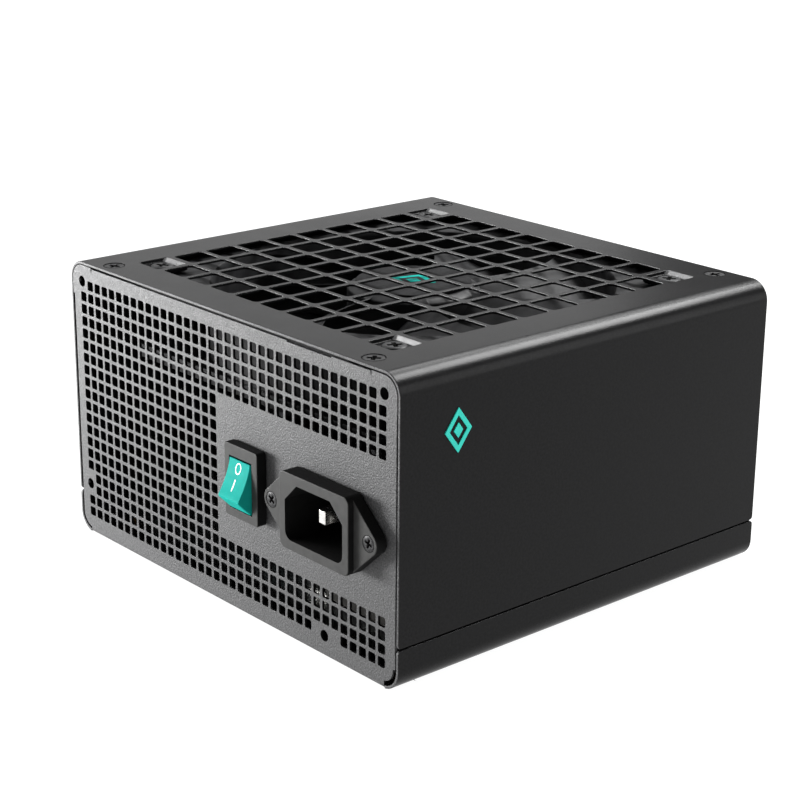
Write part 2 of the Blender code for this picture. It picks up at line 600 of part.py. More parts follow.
def rocker_switch():
    """Bezel and body, the rocker on its trunnions, and two blade terminals."""
    panel_y = -DEPTH / 2
    body = plate("switch_body", rounded((SWITCH_X, SWITCH_Z), 14.7, 21.1, 0.8, 2), SWITCH_FRONT_Y,
                 panel_y - GAP, "grey_plastic")
    rear = boxes("switch_rear", [((SWITCH_X - 6.4, panel_y - 1, SWITCH_Z - 9.9),
                                  (SWITCH_X + 6.4, SWITCH_BACK_Y, SWITCH_Z + 9.9))])
    half = ROCKER_WIDTH / 2
    well = rods("rocker_well", [((ROCKER_X - half - GAP, ROCKER_Y, ROCKER_Z),
                                 (ROCKER_X + half + GAP, ROCKER_Y, ROCKER_Z))],
                ROCKER_SWING + 0.1, segments=40)
    sockets = rods("trunnion_sockets", [((ROCKER_X - 9, ROCKER_Y, ROCKER_Z),
                                         (ROCKER_X + 9, ROCKER_Y, ROCKER_Z))], TRUNNION + 0.15)
    blades = (SWITCH_Z - 5, SWITCH_Z + 5)
    slots = boxes("terminal_slots", [
        ((SWITCH_X - 2.4 - GAP, SWITCH_BACK_Y - 2, z - 0.4 - GAP),
         (SWITCH_X + 2.4 + GAP, SWITCH_BACK_Y + 1, z + 0.4 + GAP)) for z in blades])
    cut(add(body, rear), well, sockets, slots)
    for number, z in enumerate(blades, 1):
        boxes("switch_terminal_%d" % number, [
            ((SWITCH_X - 2.4, SWITCH_BACK_Y - 1.7, z - 0.4),
             (SWITCH_X + 2.4, SWITCH_BACK_Y + 7, z + 0.4))], "brass")

    face = sagging((-73.5, 47.4), (-77.4, 37.9), 0.6, 6)
    outline = face + [(-77.6, 37.3), (-77.2, 36.7), (-73.4, 32.8), (-70.5, 33.6), (-66.5, 36.5),
                      (-66.0, ROCKER_Z), (-66.5, 44.0), (-70.5, 46.6)]
    local = [(y - ROCKER_Y, z - ROCKER_Z) for y, z in outline]
    rocker = plate("switch_rocker", local, -half, half, "rocker_teal", along="X")
    pivot = rods("trunnions", [((-half - 1.2, 0, 0), (half + 1.2, 0, 0))], TRUNNION)
    pivot.parent = rocker
    rocker.location = (ROCKER_X * MM, ROCKER_Y * MM, ROCKER_Z * MM)
    add(rocker, pivot)


# ---------------------------------------------------------------- circuit board and what it carries

def circuit_board():
    """Board, its insulating sheet, standoffs and screws."""
    low_y, high_y = BOARD_Y
    board = boxes("main_board", [((-BOARD_X, low_y, BOARD_LOW), (BOARD_X, high_y, BOARD_TOP))],
                  "board_black")
    holes = [((x, y, 0), (x, y, BOARD_TOP + 2)) for x, y in BOARD_SCREWS]
    cut(board, rods("board_holes", holes, 1.8, segments=12))
    sheet = boxes("board_insulator", [
        ((-BOARD_X, low_y, FILM_LOW), (BOARD_X, high_y, FILM_LOW + FILM_THICK))], "insulating_film")
    cut(sheet, rods("insulator_holes", holes, STANDOFF_RADIUS + 0.5, segments=12))
    for number, (x, y) in enumerate(BOARD_SCREWS, 1):
        low, high = SHEET + GAP, BOARD_LOW - GAP
        post = [(STANDOFF_RADIUS, high), (STANDOFF_RADIUS, low), (1.6, low), (1.6, high)]
        turned("board_standoff_%d" % number, post, (x, y), "brass", steps=8, closed=True)
        top = PARTS_Z + 1.6
        head = [(0.0, top), (2.2, top), (2.8, PARTS_Z), (1.3, PARTS_Z)]
        upright_screw("board_screw_%d" % number, x, y, head, 5.5)


def heatsink(name, face_x, facing, ends, top):
    """Upright plate with ribs on one side; facing is the side, in X, that the ribs point to."""
    first, last = ends
    sink = boxes(name, [((face_x, first, PARTS_Z), (face_x + SINK_THICK, last, top))], "black_anodised")
    start = face_x + (SINK_THICK - 0.5 if facing > 0 else -SINK_RIB)
    ribs = [((start, y, PARTS_Z + 14), (start + SINK_RIB + 0.5, y + 2, top - 2))
            for y in range(int(first) + 4, int(last) - 4, 12)]
    return add(sink, boxes(name + "_ribs", ribs))


def capacitor(name, x, y, radius, height):
    """Sleeved can with a rolled groove under its rounded lid edge."""
    top = PARTS_Z + height
    groove = PARTS_Z + 3.0
    edge = 0.06 * radius + 0.4
    profile = [(0.0, top), (radius - edge, top), (radius, top - edge), (radius, groove + 1),
               (radius - edge / 2, groove), (radius, groove - 1), (radius, PARTS_Z), (0.0, PARTS_Z)]
    turned(name, profile, (x, y), "sleeve_black", steps=20 if radius > 8 else 12)


def toroid(name, x, y, ring, section, finish="copper_wire"):
    """Wound ring choke lying on the board."""
    bpy.ops.mesh.primitive_torus_add(
        location=(x * MM, y * MM, (PARTS_Z + section) * MM), major_radius=ring * MM,
        minor_radius=section * MM, major_segments=16, minor_segments=8)
    torus = bpy.context.active_object
    torus.name = torus.data.name = name
    place(torus, finish)


def transformer(name, centre, size, finish="dark_tape"):
    """Wound bobbin between the two legs of its core, as one stepped block."""
    (x, y), (wide, deep, tall) = centre, size
    core = boxes(name, [((x - wide / 2, y - deep / 2, PARTS_Z),
                         (x + wide / 2, y + deep / 2, PARTS_Z + tall))], finish)
    leg, bite, step = wide * 0.3, deep * 0.2, PARTS_Z + tall * 0.25
    notches = []
    for edge in (y - deep / 2, y + deep / 2):
        for near, far in ((x - wide / 2 - 1, x - leg), (x + leg, x + wide / 2 + 1)):
            notches.append(((near, edge - bite, step), (far, edge + bite, PARTS_Z + tall + 1)))
    return cut(core, boxes(name + "_notches", notches))


def board_parts():
    """Mains filter, primary side, transformers and outputs, from the inlet side across."""
    boxes("x_capacitor", [((31, -58, PARTS_Z), (57, -47, PARTS_Z + 18))], "dark_tape")
    toroid("common_mode_choke", 52, -31, 7.0, 4.0)
    rods("fuse", [((17, -50, PARTS_Z + 3.2), (30, -50, PARTS_Z + 3.2))], 2.8, "plated_metal",
         segments=12)
    toroid("pfc_choke", 52, -3, 9.5, 5.5)
    capacitor("bulk_capacitor", 52, 30, 15.0, 45.0)
    heatsink("primary_heatsink", 30, -1, (-40, 48), 52)
    face = 30 + SINK_THICK + PACKAGE_X
    boxes("bridge_rectifier", [((face, -36, 26), (face + PACKAGE_THICK, -12, 46))], "sleeve_black")
    boxes("switching_transistor", [((face, -9, 26), (face + PACKAGE_THICK, 2, 42))], "sleeve_black")
    transformer("main_transformer", (2, 8), (34, 36, 38))
    transformer("standby_transformer", (4, 44), (20, 20, 20))
    boxes("control_board", [((-14, -32, PARTS_Z), (12, -30.4, 38))], "board_black")
    heatsink("secondary_heatsink", -28, 1, (-38, 45), 52)
    face = -28 - PACKAGE_X
    boxes("output_rectifier", [((face - PACKAGE_THICK, -20, 26), (face, -4, 44))], "sleeve_black")
    toroid("output_choke", -49, -10, 8.5, 5.0)
    spots = ((-38, 14), (-51, 14), (-38, 27), (-51, 27))
    for number, (x, y) in enumerate(spots, 1):
        capacitor("output_capacitor_%d" % number, x, y, 5.0, 25.0)


def shade_round_pieces(limit=math.radians(35)):
    """Smooth shading on every part, broken at its real edges."""
    for obj in PARTS.objects:
        obj.data.shade_smooth()
        obj.data.set_sharp_from_angle(angle=limit)


top_cover()
base_tray()
rear_panel()
front_panel()
cable_grommet()
housing_screws()
fan_frame()
fan_rotor()
fan_motor()
mains_inlet()
rocker_switch()
circuit_board()
board_parts()
shade_round_pieces()
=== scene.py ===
# Looks of the power supply unit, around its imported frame. Lengths are in mm; those of the stage are in m.
import json
import math

import bmesh
import bpy
from mathutils import Matrix, Vector


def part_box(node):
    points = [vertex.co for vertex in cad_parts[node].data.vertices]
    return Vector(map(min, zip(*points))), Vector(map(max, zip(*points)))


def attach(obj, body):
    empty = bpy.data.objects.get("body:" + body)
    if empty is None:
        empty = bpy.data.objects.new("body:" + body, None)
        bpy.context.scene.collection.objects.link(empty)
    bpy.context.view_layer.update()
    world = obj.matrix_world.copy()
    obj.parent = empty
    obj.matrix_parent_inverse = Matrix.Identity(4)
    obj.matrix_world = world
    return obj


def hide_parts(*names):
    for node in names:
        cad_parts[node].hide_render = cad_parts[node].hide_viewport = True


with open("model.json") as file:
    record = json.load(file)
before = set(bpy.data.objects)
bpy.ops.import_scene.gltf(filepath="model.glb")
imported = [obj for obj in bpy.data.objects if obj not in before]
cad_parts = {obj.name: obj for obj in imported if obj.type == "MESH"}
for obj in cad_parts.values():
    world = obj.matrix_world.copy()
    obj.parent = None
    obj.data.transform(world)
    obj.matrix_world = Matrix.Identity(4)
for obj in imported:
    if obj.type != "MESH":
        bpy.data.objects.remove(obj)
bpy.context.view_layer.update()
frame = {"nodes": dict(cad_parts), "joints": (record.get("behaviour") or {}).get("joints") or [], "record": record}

MM = 0.001


def span(node):
    """Lowest and highest corners of a CAD node, in millimetres."""
    low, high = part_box(node)
    return low / MM, high / MM


def centre(node):
    """Middle of a CAD node's box, in millimetres."""
    low, high = span(node)
    return (low + high) / 2


def four(kind):
    """Where the four CAD screws of a kind are, seen from above, in millimetres."""
    return [centre("%s_%d" % (kind, i)).xy for i in range(1, 5)]


# Housing
COVER_LOW, COVER_HIGH = span("top_cover")
SIDE, HEIGHT = COVER_HIGH.x, COVER_HIGH.z
FRONT, BACK = COVER_LOW.y, COVER_HIGH.y
SHEET, CORNER, SEAM_GAP = 0.8, 6.0, 0.5
BEND_STEPS = 14
TRAY_TOP = COVER_LOW.z - SEAM_GAP
PAINT_EDGE, COVER_EDGE = 0.1, 0.22  # rounding of the painted edges of the panel and the cover
LIP_ROUND = 1.0                     # corners of the sheets where they meet at the seam
EDGE_ZONE = 0.5                     # depth at the sheets' ends that counts as their cut end
OVERLAP = 0.1                       # how far sheets that are one piece run into each other
FLANGE_Z, FLANGE_X, FLANGE_END = (8.0, 17.0), (72.9, 74.1), 68.8
UNDER = HEIGHT - SHEET

# Grille and the dished corners
CELL, CELL_PITCH, CELL_ROWS, CELL_ROUND = 10.05, 11.55, 10, 1.3
POCKET, POCKET_FLOOR, POCKET_DEPTH = 10.2, 7.9, 1.1
POCKET_ROUND, DISH_ROUND, POCKET_HOLE = 1.0, 2.0, 2.1
COVER_SEAT = ((2.7, 2.3), (4.7, SHEET / 2))  # (radius, depth) of the metal pressed in under a cover screw
COVER_SINK = ((1.9, 3.5), (1.9, 1.4), (3.12, 0.18), (3.12, -1.0))  # the same of the hollow that holds it

# Mains panel: its edge nearly fills the upper left corner, and stands back from the cover elsewhere
FLUSH_GAP, CORNER_GAP = 0.95, 1.1   # from the outside to the panel, round its upper left and right corners
FLUSH_X, FLUSH_TOP = SIDE - FLUSH_GAP, UNDER - 0.15
STEP_Z = 75.5                       # where the upper corners end
RIGHT_X, LEFT_X = SIDE - 1.25, 1.7 - SIDE
FOOT_Z, FOOT_ROUND, FOOT_TOP = (1.6, 2.15), (4.45, 3.85), 6.6  # lower corners, left and right
TOP_GAP_Z = UNDER - 0.55
TOP_GAP_X = (-64.0, 64.0)
SLOT_X, SLOT_Z = (30.0, 48.3), UNDER - 0.95
NOTCH = (0.3, 1.1)
FOLD_X, FOLD_TOP, FOLD_ROUND = (-69.6, 69.5), 4.0, 0.9
FOLD_REACH, FOLD_RELIEF = 9.0, 0.2
TAB_X, TAB_HALF, TAB_REACH, TAB_Z = (-59.0, 59.0), 8.0, 9.5, (UNDER - 2.6, UNDER - 1.8)
HOLE, HOLE_PITCH, HOLE_ROUND = 2.8, 3.8, 0.5
FIRST_HOLE = (-68.392, 79.202)
HOLE_BANDS = (                      # first row, last row, and the runs of columns in them
    (0, 0, ((1, 35),)),
    (1, 4, ((0, 36),)),
    (5, 15, ((0, 17),)),
    (16, 17, ((1, 36),)),
    (18, 18, ((0, 36),)),
    (19, 19, ((0, 28), (32, 36))),
)
CASE_SCREW_HOLES = ((-69, 80), (69, 80), (-69, 16), (45, 6))
CASE_HOLE, BOARD_HOLE = 1.6, 1.9    # radii
INLET_WINDOW, SWITCH_WINDOW = (27.6, 20.6, 1), (13.4, 20.4, 1)  # width, height, rounding

# Cable end: (width, height, rounding) of its openings, and of its bushing
FAR_GAP, FAR_ROUND = 0.25, 4.95
CABLE_WINDOW, AIR_SLOT = (36, 24, 4), (2.5, 24, 1.2)
AIR_SLOTS_X, AIR_SLOTS_Z = range(0, 61, 6), 38
BUSHING_FLANGE, BUSHING_NECK, BUSHING_HOLE = (40, 28, 5.5), (35.4, 23.4, 3.7), (32, 20, 2.5)

# Screws: (radius, z) down the head, length, then the arm, width and depth of the cross slot
COVER_SCREW = (((2.95, 0.0), (2.98, -0.1), (1.45, -1.63)), 5.0, 3.8, 1.2, 1.6)
FAN_SCREW = (((2.6, 0.0), (3.2, -0.12), (3.4, -0.32), (3.4, -0.52), (1.8, -0.52)), 8.9, 4.2, 1.3, 1.3)
INLET_SCREW = (((2.05, 0.0), (2.2, -0.12), (1.3, -1.2)), 8.0, 2.8, 0.75, 1.0)
COVER_SCREW_TOP, FAN_SCREW_TOP = HEIGHT - 0.14, HEIGHT - POCKET_DEPTH + 0.54

# Fan
FAN_LOW, FAN_HIGH = (corner.z for corner in span("fan_frame"))
FAN_HALF = span("fan_frame")[1].x
FAN_FLANGE, FAN_ROUND = 4.0, 7.0
FAN_BORE, DUCT_WALL, DUCT_FLARE = 58.5, 1.2, (0.9, 1.5)
BASE_RADIUS, BASE_THICK, STRUT_HALF = 20.0, 2.6, 2.0
TUBE_RADII = (4.2, 5.2)
HUB_RADIUS, HUB_WALL, HUB_TOP, HUB_SKIRT = 19.5, 1.5, FAN_HIGH - 1.1, FAN_LOW + 4.6
HUB_SHOULDER, HUB_DROP, HUB_ROUND = 2.3, 1.9, 0.8  # width and depth of its sloping shoulder, and its rim
BLADES, BLADE_TIP, BLADE_STEPS = 7, 56.8, 14
BLADE_Z = (FAN_LOW + 6.6, FAN_HIGH - 2.1)
BLADE_ANGLE, BLADE_SWEEP = 45.0, 14.0  # degrees that a blade covers, and that its tip is ahead

# Inlet and switch
INLET = centre("inlet_shell")
INLET_LOW, INLET_HIGH = span("inlet_shell")
INLET_EAR_Y = INLET_LOW.y + 1.8
INLET_RIM, INLET_BODY = (28.5, 21.6, 2.0, 6), (26.8, 19.8, 1.0)
INLET_SINK = ((2.65, INLET_EAR_Y - 0.5), (2.35, INLET_EAR_Y), (1.5, INLET_EAR_Y + 1.3), (1.5, FRONT + 1))
SWITCH = centre("switch_body")
SWITCH_LOW, SWITCH_HIGH = span("switch_body")
SWITCH_RIM, SWITCH_BODY = (14.7, 21.1, 0.8), (12.8, 19.8, 0.6)
HINGE = Vector(next(j["pos_m"] for j in frame["joints"] if j["name"] == "rocker_tilt")) / MM
ROCKER_WIDTH, ROCKER_WELL = 9.3, 8.5
ROCKER_TOP, ROCKER_NOSE, ROCKER_SAG = (-73.5, 47.4), (-77.4, 37.9), 0.6
ROCKER_STEPS, PIVOT_RADIUS, PIVOT_REACH = 16, 1.5, 1.1
ROCKER_BACK = [(-77.6, 37.4), (-77.55, 37.0), (-77.2, 36.6), (-73.4, 32.8), (-70.5, 33.6), (-66.5, 36.5),
               (-66.0, 40.2), (-66.5, 44.0), (-70.5, 46.6)]
MARK_O_Z, MARK_O, MARK_O_STEPS = 45.2, ((1.22, 1.56), (0.92, 1.26)), 40  # its two ellipses
MARK_I_Z, MARK_I_LENGTH, MARK_I_HALF, MARK_I_STEPS = 42.3, 3.0, 0.2, 8

# Side mark
SIDE_MARK, SIDE_MARK_AT = (9.2, 12.2, 0.35), (SIDE - 0.05, -50.7, 67.9)

TEAL, MARK_TEAL = (0.008, 0.33, 0.28), (0.035, 0.66, 0.54)

# Stage, in metres: each light's place, aim, width, height and radiance
LIGHTS = {
    "key": ((-0.40, -0.36, 0.06), (0.0, -0.07, 0.04), 0.2, 0.12, 56.0),
    "wash": ((-0.25, -0.21, 0.05), (-0.04, -0.07, 0.04), 0.1, 0.08, 14.0),
    "upper_left": ((-0.76, -0.32, 0.88), (0.0, 0.0, 0.08), 0.42, 0.4, 12.0),
    "strip_near": ((-0.40, 0.80, 0.98), (0.0, 0.0, 0.08), 0.6, 0.4, 10.0),
    "strip_far": ((0.16, 0.80, 0.98), (0.05, 0.0, 0.08), 0.52, 0.4, 36.0),
    "horizon": ((1.08, 0.93, 0.42), (0.07, 0.0, 0.08), 0.6, 0.7, 3.6),
    "backdrop": ((-1.29, 0.66, 0.48), (0.0, 0.0, 0.08), 1.25, 0.8, 0.75),
}
WORLD_STRENGTH = 0.15
FLOOR_SIZE, FLOOR_GLOW = 30.0, 0.98
LENS, SENSOR = 87.79, 36.0          # millimetres
EYE = (0.414702, -0.366018, 0.229915)
AZIMUTH, ELEVATION, ROLL = 48.943, 18.413, 0.494  # degrees


# ---------------------------------------------------------------- outlines

def arc(middle, radius, first, last, segments):
    """Points on an arc, with its angles in degrees."""
    angles = [math.radians(first + (last - first) * i / segments) for i in range(segments + 1)]
    return [(middle[0] + radius * math.cos(a), middle[1] + radius * math.sin(a)) for a in angles]


def circle(middle, radius, segments=24):
    """Points round a circle."""
    return arc(middle, radius, 0, 360, segments)[:-1]


def rounded(middle, width, height, radius, segments=4):
    """Outline of a rectangle with round corners."""
    points = []
    for quarter, (sx, sy) in enumerate(((1, 1), (-1, 1), (-1, -1), (1, -1))):
        at = (middle[0] + sx * (width / 2 - radius), middle[1] + sy * (height / 2 - radius))
        points += arc(at, radius, 90 * quarter, 90 * quarter + 90, segments)
    return points


# ---------------------------------------------------------------- solids

def from_bmesh(name, bm):
    """Makes an object of a finished bmesh, with its faces pointing out."""
    bmesh.ops.recalc_face_normals(bm, faces=bm.faces)
    mesh = bpy.data.meshes.new(name)
    bm.to_mesh(mesh)
    bm.free()
    obj = bpy.data.objects.new(name, mesh)
    bpy.context.scene.collection.objects.link(obj)
    return obj


def stand(outline, depth, along):
    """Places an outline at a depth: its points are (x, z) for Y, (x, y) for Z and (y, z) for X."""
    order = {"X": lambda a, b: (depth, a, b), "Y": lambda a, b: (a, depth, b),
             "Z": lambda a, b: (a, b, depth)}[along]
    return [Vector(order(a, b)) for a, b in outline]


def loft(bm, rings):
    """Adds a closed solid through rings that have the same number of points, in millimetres."""
    rows = [[bm.verts.new(point * MM) for point in ring] for ring in rings]
    for low, high in zip(rows, rows[1:]):
        for i in range(len(low)):
            j = (i + 1) % len(low)
            bm.faces.new((low[i], low[j], high[j], high[i]))
    bm.faces.new(rows[0])
    bm.faces.new(rows[-1])


def prisms(name, outlines, low, high, along="Z"):
    """Straight solids of flat outlines, from low to high along an axis."""
    bm = bmesh.new()
    for outline in outlines:
        loft(bm, [stand(outline, low, along), stand(outline, high, along)])
    return from_bmesh(name, bm)


def box(name, low, high):
    """One box between two corners."""
    outline = [(low[0], low[1]), (high[0], low[1]), (high[0], high[1]), (low[0], high[1])]
    return prisms(name, [outline], low[2], high[2])


def stacks(name, middles, rings, along="Z"):
    """Round solids through rings of (radius, depth), one at each of the middles."""
    bm = bmesh.new()
    for at in middles:
        loft(bm, [stand(circle(at, radius), depth, along) for radius, depth in rings])
    return from_bmesh(name, bm)


def turned(name, profile, steps=64):
    """A turned shape about the vertical through the origin, from (radius, z) points."""
    bm = bmesh.new()
    corners = [bm.verts.new((radius * MM, 0.0, z * MM)) for radius, z in profile]
    edges = [bm.edges.new(pair) for pair in zip(corners, corners[1:])]
    bmesh.ops.spin(bm, geom=corners + edges, cent=(0, 0, 0), axis=(0, 0, 1),
                   angle=2 * math.pi, steps=steps, use_merge=True)
    bmesh.ops.remove_doubles(bm, verts=bm.verts, dist=0.001 * MM)
    return from_bmesh(name, bm)


def disc(name, radius, low, high, steps=64):
    """A cylinder about the vertical through the origin."""
    return turned(name, [(0, low), (radius, low), (radius, high), (0, high)], steps)


def clearance(*nodes, gap=0.2):
    """Boxes round CAD nodes that go through a piece along Y, with a gap round each."""
    spread = Vector((gap, 0, gap))
    return [box("slot", low - spread, high + spread) for low, high in map(span, nodes)]


def settle(obj):
    """Turns an object's modifiers into its mesh."""
    bpy.context.view_layer.update()
    shown = obj.evaluated_get(bpy.context.evaluated_depsgraph_get())
    mesh, old = bpy.data.meshes.new_from_object(shown), obj.data
    obj.modifiers.clear()
    obj.data = mesh
    bpy.data.meshes.remove(old)
    return obj


def combine(obj, others, operation):
    """Joins or cuts with each of the others, which are used up."""
    for other in others:
        step = obj.modifiers.new("step", "BOOLEAN")
        step.operation, step.object, step.solver = operation, other, "EXACT"
        settle(obj)
        bpy.data.objects.remove(other)
    return obj


def add(obj, *others):
    """Joins the others to an object."""
    return combine(obj, others, "UNION")


def cut(obj, *others):
    """Cuts the others out of an object."""
    return combine(obj, others, "DIFFERENCE")


def move(obj, location=(0, 0, 0), turn=None):
    """Shifts a mesh, in millimetres, after an optional turn about the origin."""
    matrix = Matrix.Translation(Vector(location) * MM)
    obj.data.transform(matrix @ turn if turn else matrix)
    return obj


def bevel(obj, edge, rounds, angle=40.0):
    """Rounds the edges of an object that are sharper than an angle in degrees."""
    edges = obj.modifiers.new("edges", "BEVEL")
    edges.width, edges.segments = edge * MM, rounds
    edges.limit_method, edges.angle_limit = "ANGLE", math.radians(angle)
    edges.use_clamp_overlap = False
    return settle(obj)


def soften(obj, edge=PAINT_EDGE, rounds=2, angle=40.0):
    """Rounds the edges of an object and shades it smooth."""
    if edge:
        bevel(obj, edge, rounds, angle)
    obj.data.shade_smooth()
    obj.data.set_sharp_from_angle(angle=math.radians(60))
    normals = obj.modifiers.new("normals", "WEIGHTED_NORMAL")
    normals.keep_sharp = True
    return obj


def show(obj, finish, slot, *nodes, body="housing"):
    """Gives a piece its finish and its body, and hides the CAD nodes that it stands for; its slot is not used."""
    obj.data.materials.clear()
    obj.data.materials.append(finish)
    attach(obj, body)
    if nodes:
        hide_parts(*nodes)
    return obj


def dress(obj, finish, chosen):
    """Gives another finish to the faces that are chosen by their middle, in millimetres, and normal."""
    obj.data.materials.append(finish)
    for face in obj.data.polygons:
        if chosen(face.center / MM, face.normal):
            face.material_index = len(obj.data.materials) - 1
    return obj


# ---------------------------------------------------------------- finishes

class Finish:
    """A Principled material that procedural detail is hung on."""

    def __init__(self, name, colour, roughness=0.5, metallic=0.0, specular=0.5):
        self.material = bpy.data.materials.new(name)
        self.material.use_nodes = True
        self.tree = self.material.node_tree
        self.shader = self.tree.nodes["Principled BSDF"]
        self.place = self.tree.nodes.new("ShaderNodeTexCoord").outputs["Object"]
        self.set("Base Color", (*colour, 1.0))
        self.set("Roughness", roughness)
        self.set("Metallic", metallic)
        self.set("Specular IOR Level", specular)

    def set(self, socket, value):
        """Sets one of the shader's own values."""
        self.shader.inputs[socket].default_value = value

    def node(self, kind, inputs=(), **settings):
        """Adds a node, with its settings and its inputs, which are values or links."""
        node = self.tree.nodes.new(kind)
        for key, value in settings.items():
            setattr(node, key, value)
        for key, value in dict(inputs).items():
            if isinstance(value, bpy.types.NodeSocket):
                self.tree.links.new(value, node.inputs[key])
            else:
                node.inputs[key].default_value = value
        return node

    def noise(self, size, detail=2.0, stretch=None):
        """Noise whose features are about this many millimetres, scaled along each axis if asked."""
        place = self.place
        if stretch:
            place = self.node("ShaderNodeMapping", {"Vector": place, "Scale": stretch}).outputs[0]
        return self.node("ShaderNodeTexNoise", {
            "Vector": place, "Scale": 1.0 / (size * MM), "Detail": detail}).outputs[0]

    def remap(self, value, low, high, start=0.3, end=0.7):
        """A value between start and end, spread from low to high."""
        return self.node("ShaderNodeMapRange", {
            "Value": value, "From Min": start, "From Max": end, "To Min": low, "To Max": high}).outputs[0]

    def tint(self, value, first, second, start=0.35, end=0.65):
        """Drives the base colour between two colours."""
        ramp = self.node("ShaderNodeValToRGB", {"Fac": value})
        for stop, at, colour in zip(ramp.color_ramp.elements, (start, end), (first, second)):
            stop.position, stop.color = at, (*colour, 1.0)
        self.link(ramp.outputs[0], "Base Color")

    def link(self, output, socket):
        """Drives one of the shader's inputs."""
        self.tree.links.new(output, self.shader.inputs[socket])

    def bump(self, height, depth):
        """Adds relief this many millimetres deep over what is there."""
        inputs = {"Height": height, "Distance": depth * MM, "Strength": 1.0}
        if self.shader.inputs["Normal"].links:
            inputs["Normal"] = self.shader.inputs["Normal"].links[0].from_socket
        self.link(self.node("ShaderNodeBump", inputs).outputs[0], "Normal")


def cover_paint():
    """Near-black powder coat, smooth to the eye with a very fine orange peel."""
    paint = Finish("cover_powder_coat", (0.009, 0.009, 0.0093), 0.25, specular=0.08)
    paint.tint(paint.noise(0.7, 4), (0.0072, 0.0072, 0.0075), (0.0108, 0.0108, 0.0112))
    paint.link(paint.remap(paint.noise(9.0, 3), 0.23, 0.27), "Roughness")
    paint.bump(paint.noise(0.6, 3), 0.018)
    return paint.material


def panel_paint():
    """Grey powder coat with a fine pebbled grain."""
    paint = Finish("panel_powder_coat", (0.068, 0.068, 0.07), 0.5, specular=0.3)
    grain = paint.noise(0.5, 5)
    paint.tint(grain, (0.034, 0.034, 0.035), (0.108, 0.108, 0.11), 0.3, 0.72)
    paint.link(paint.remap(paint.noise(1.6, 4), 0.44, 0.58), "Roughness")
    paint.bump(grain, 0.2)
    paint.bump(paint.noise(1.5, 2), 0.05)
    return paint.material


def moulded(name, colour, roughness, grain=0.35, relief=0.006, contrast=0.12, specular=0.5):
    """Moulded plastic with a spark-eroded grain."""
    plastic = Finish(name, colour, roughness, specular=specular)
    dark, light = ([c * (1 + sign * contrast) for c in colour] for sign in (-1, 1))
    plastic.tint(plastic.noise(2.2, 5), dark, light)
    plastic.link(plastic.remap(plastic.noise(1.1, 4), roughness - 0.05, roughness + 0.07), "Roughness")
    plastic.bump(plastic.noise(grain, 3), relief)
    return plastic.material


def black_zinc():
    """Blackened screw steel, dull and finely mottled."""
    steel = Finish("black_zinc", (0.02, 0.02, 0.021), 0.45, specular=0.2)
    steel.tint(steel.noise(0.5, 4), (0.012, 0.012, 0.013), (0.032, 0.032, 0.033))
    steel.link(steel.remap(steel.noise(0.25, 3), 0.36, 0.55), "Roughness")
    steel.bump(steel.noise(0.12, 2), 0.002)
    return steel.material


def metal(name, colour, roughness, brush, relief=0.002):
    """Bare metal with marks that are drawn out along the axis whose scale is small."""
    bare = Finish(name, colour, roughness, 1.0)
    marks = bare.noise(0.3, 4, brush)
    dark, light = ([min(1.0, c * scale) for c in colour] for scale in (0.86, 1.08))
    bare.tint(marks, dark, light)
    bare.link(bare.remap(marks, roughness - 0.08, roughness + 0.1), "Roughness")
    bare.bump(marks, relief)
    return bare.material


def solder_mask():
    """Black solder mask, with the raised lines of the tracks under it."""
    mask = Finish("solder_mask", (0.012, 0.014, 0.015), 0.35)
    tracks = mask.node("ShaderNodeTexBrick", {
        "Vector": mask.place, "Scale": 1.0 / (6 * MM), "Mortar Size": 0.06, "Bias": 0.0,
        "Color1": (0.008, 0.01, 0.011, 1), "Color2": (0.012, 0.015, 0.016, 1),
        "Mortar": (0.03, 0.036, 0.036, 1)})
    mask.link(tracks.outputs[0], "Base Color")
    mask.bump(tracks.outputs[1], 0.03)
    mask.link(mask.remap(mask.noise(3.0, 3), 0.24, 0.4), "Roughness")
    return mask.material


def film():
    """Black insulating sheet."""
    sheet = Finish("insulating_film", (0.03, 0.03, 0.03), 0.4)
    sheet.tint(sheet.noise(12, 3), (0.022, 0.022, 0.022), (0.038, 0.038, 0.038))
    sheet.bump(sheet.noise(6, 2), 0.05)
    return sheet.material


def enamelled_copper():
    """Lacquered winding wire."""
    wire = Finish("enamelled_copper", (0.3, 0.1, 0.035), 0.3, 0.9)
    wire.tint(wire.noise(1.5, 3), (0.2, 0.06, 0.02), (0.36, 0.13, 0.05))
    wire.link(wire.remap(wire.noise(0.6, 3), 0.18, 0.36), "Roughness")
    return wire.material


def core_tape():
    """Polyester tape wound round a ferrite core."""
    tape = Finish("core_tape", (0.03, 0.028, 0.024), 0.4)
    laps = tape.node("ShaderNodeTexWave", {
        "Vector": tape.place, "Scale": 1.0 / (20 * MM), "Distortion": 0.6},
        bands_direction="Z").outputs[0]
    tape.tint(laps, (0.02, 0.018, 0.015), (0.04, 0.037, 0.031))
    tape.bump(laps, 0.05)
    tape.link(tape.remap(tape.noise(2.0, 3), 0.3, 0.5), "Roughness")
    return tape.material


def ferrite():
    """Bonded ferrite of the fan's magnet."""
    core = Finish("ferrite", (0.06, 0.06, 0.06), 0.6, 0.3)
    core.tint(core.noise(0.4, 4), (0.035, 0.035, 0.036), (0.09, 0.09, 0.092))
    core.bump(core.noise(0.4, 3), 0.01)
    return core.material


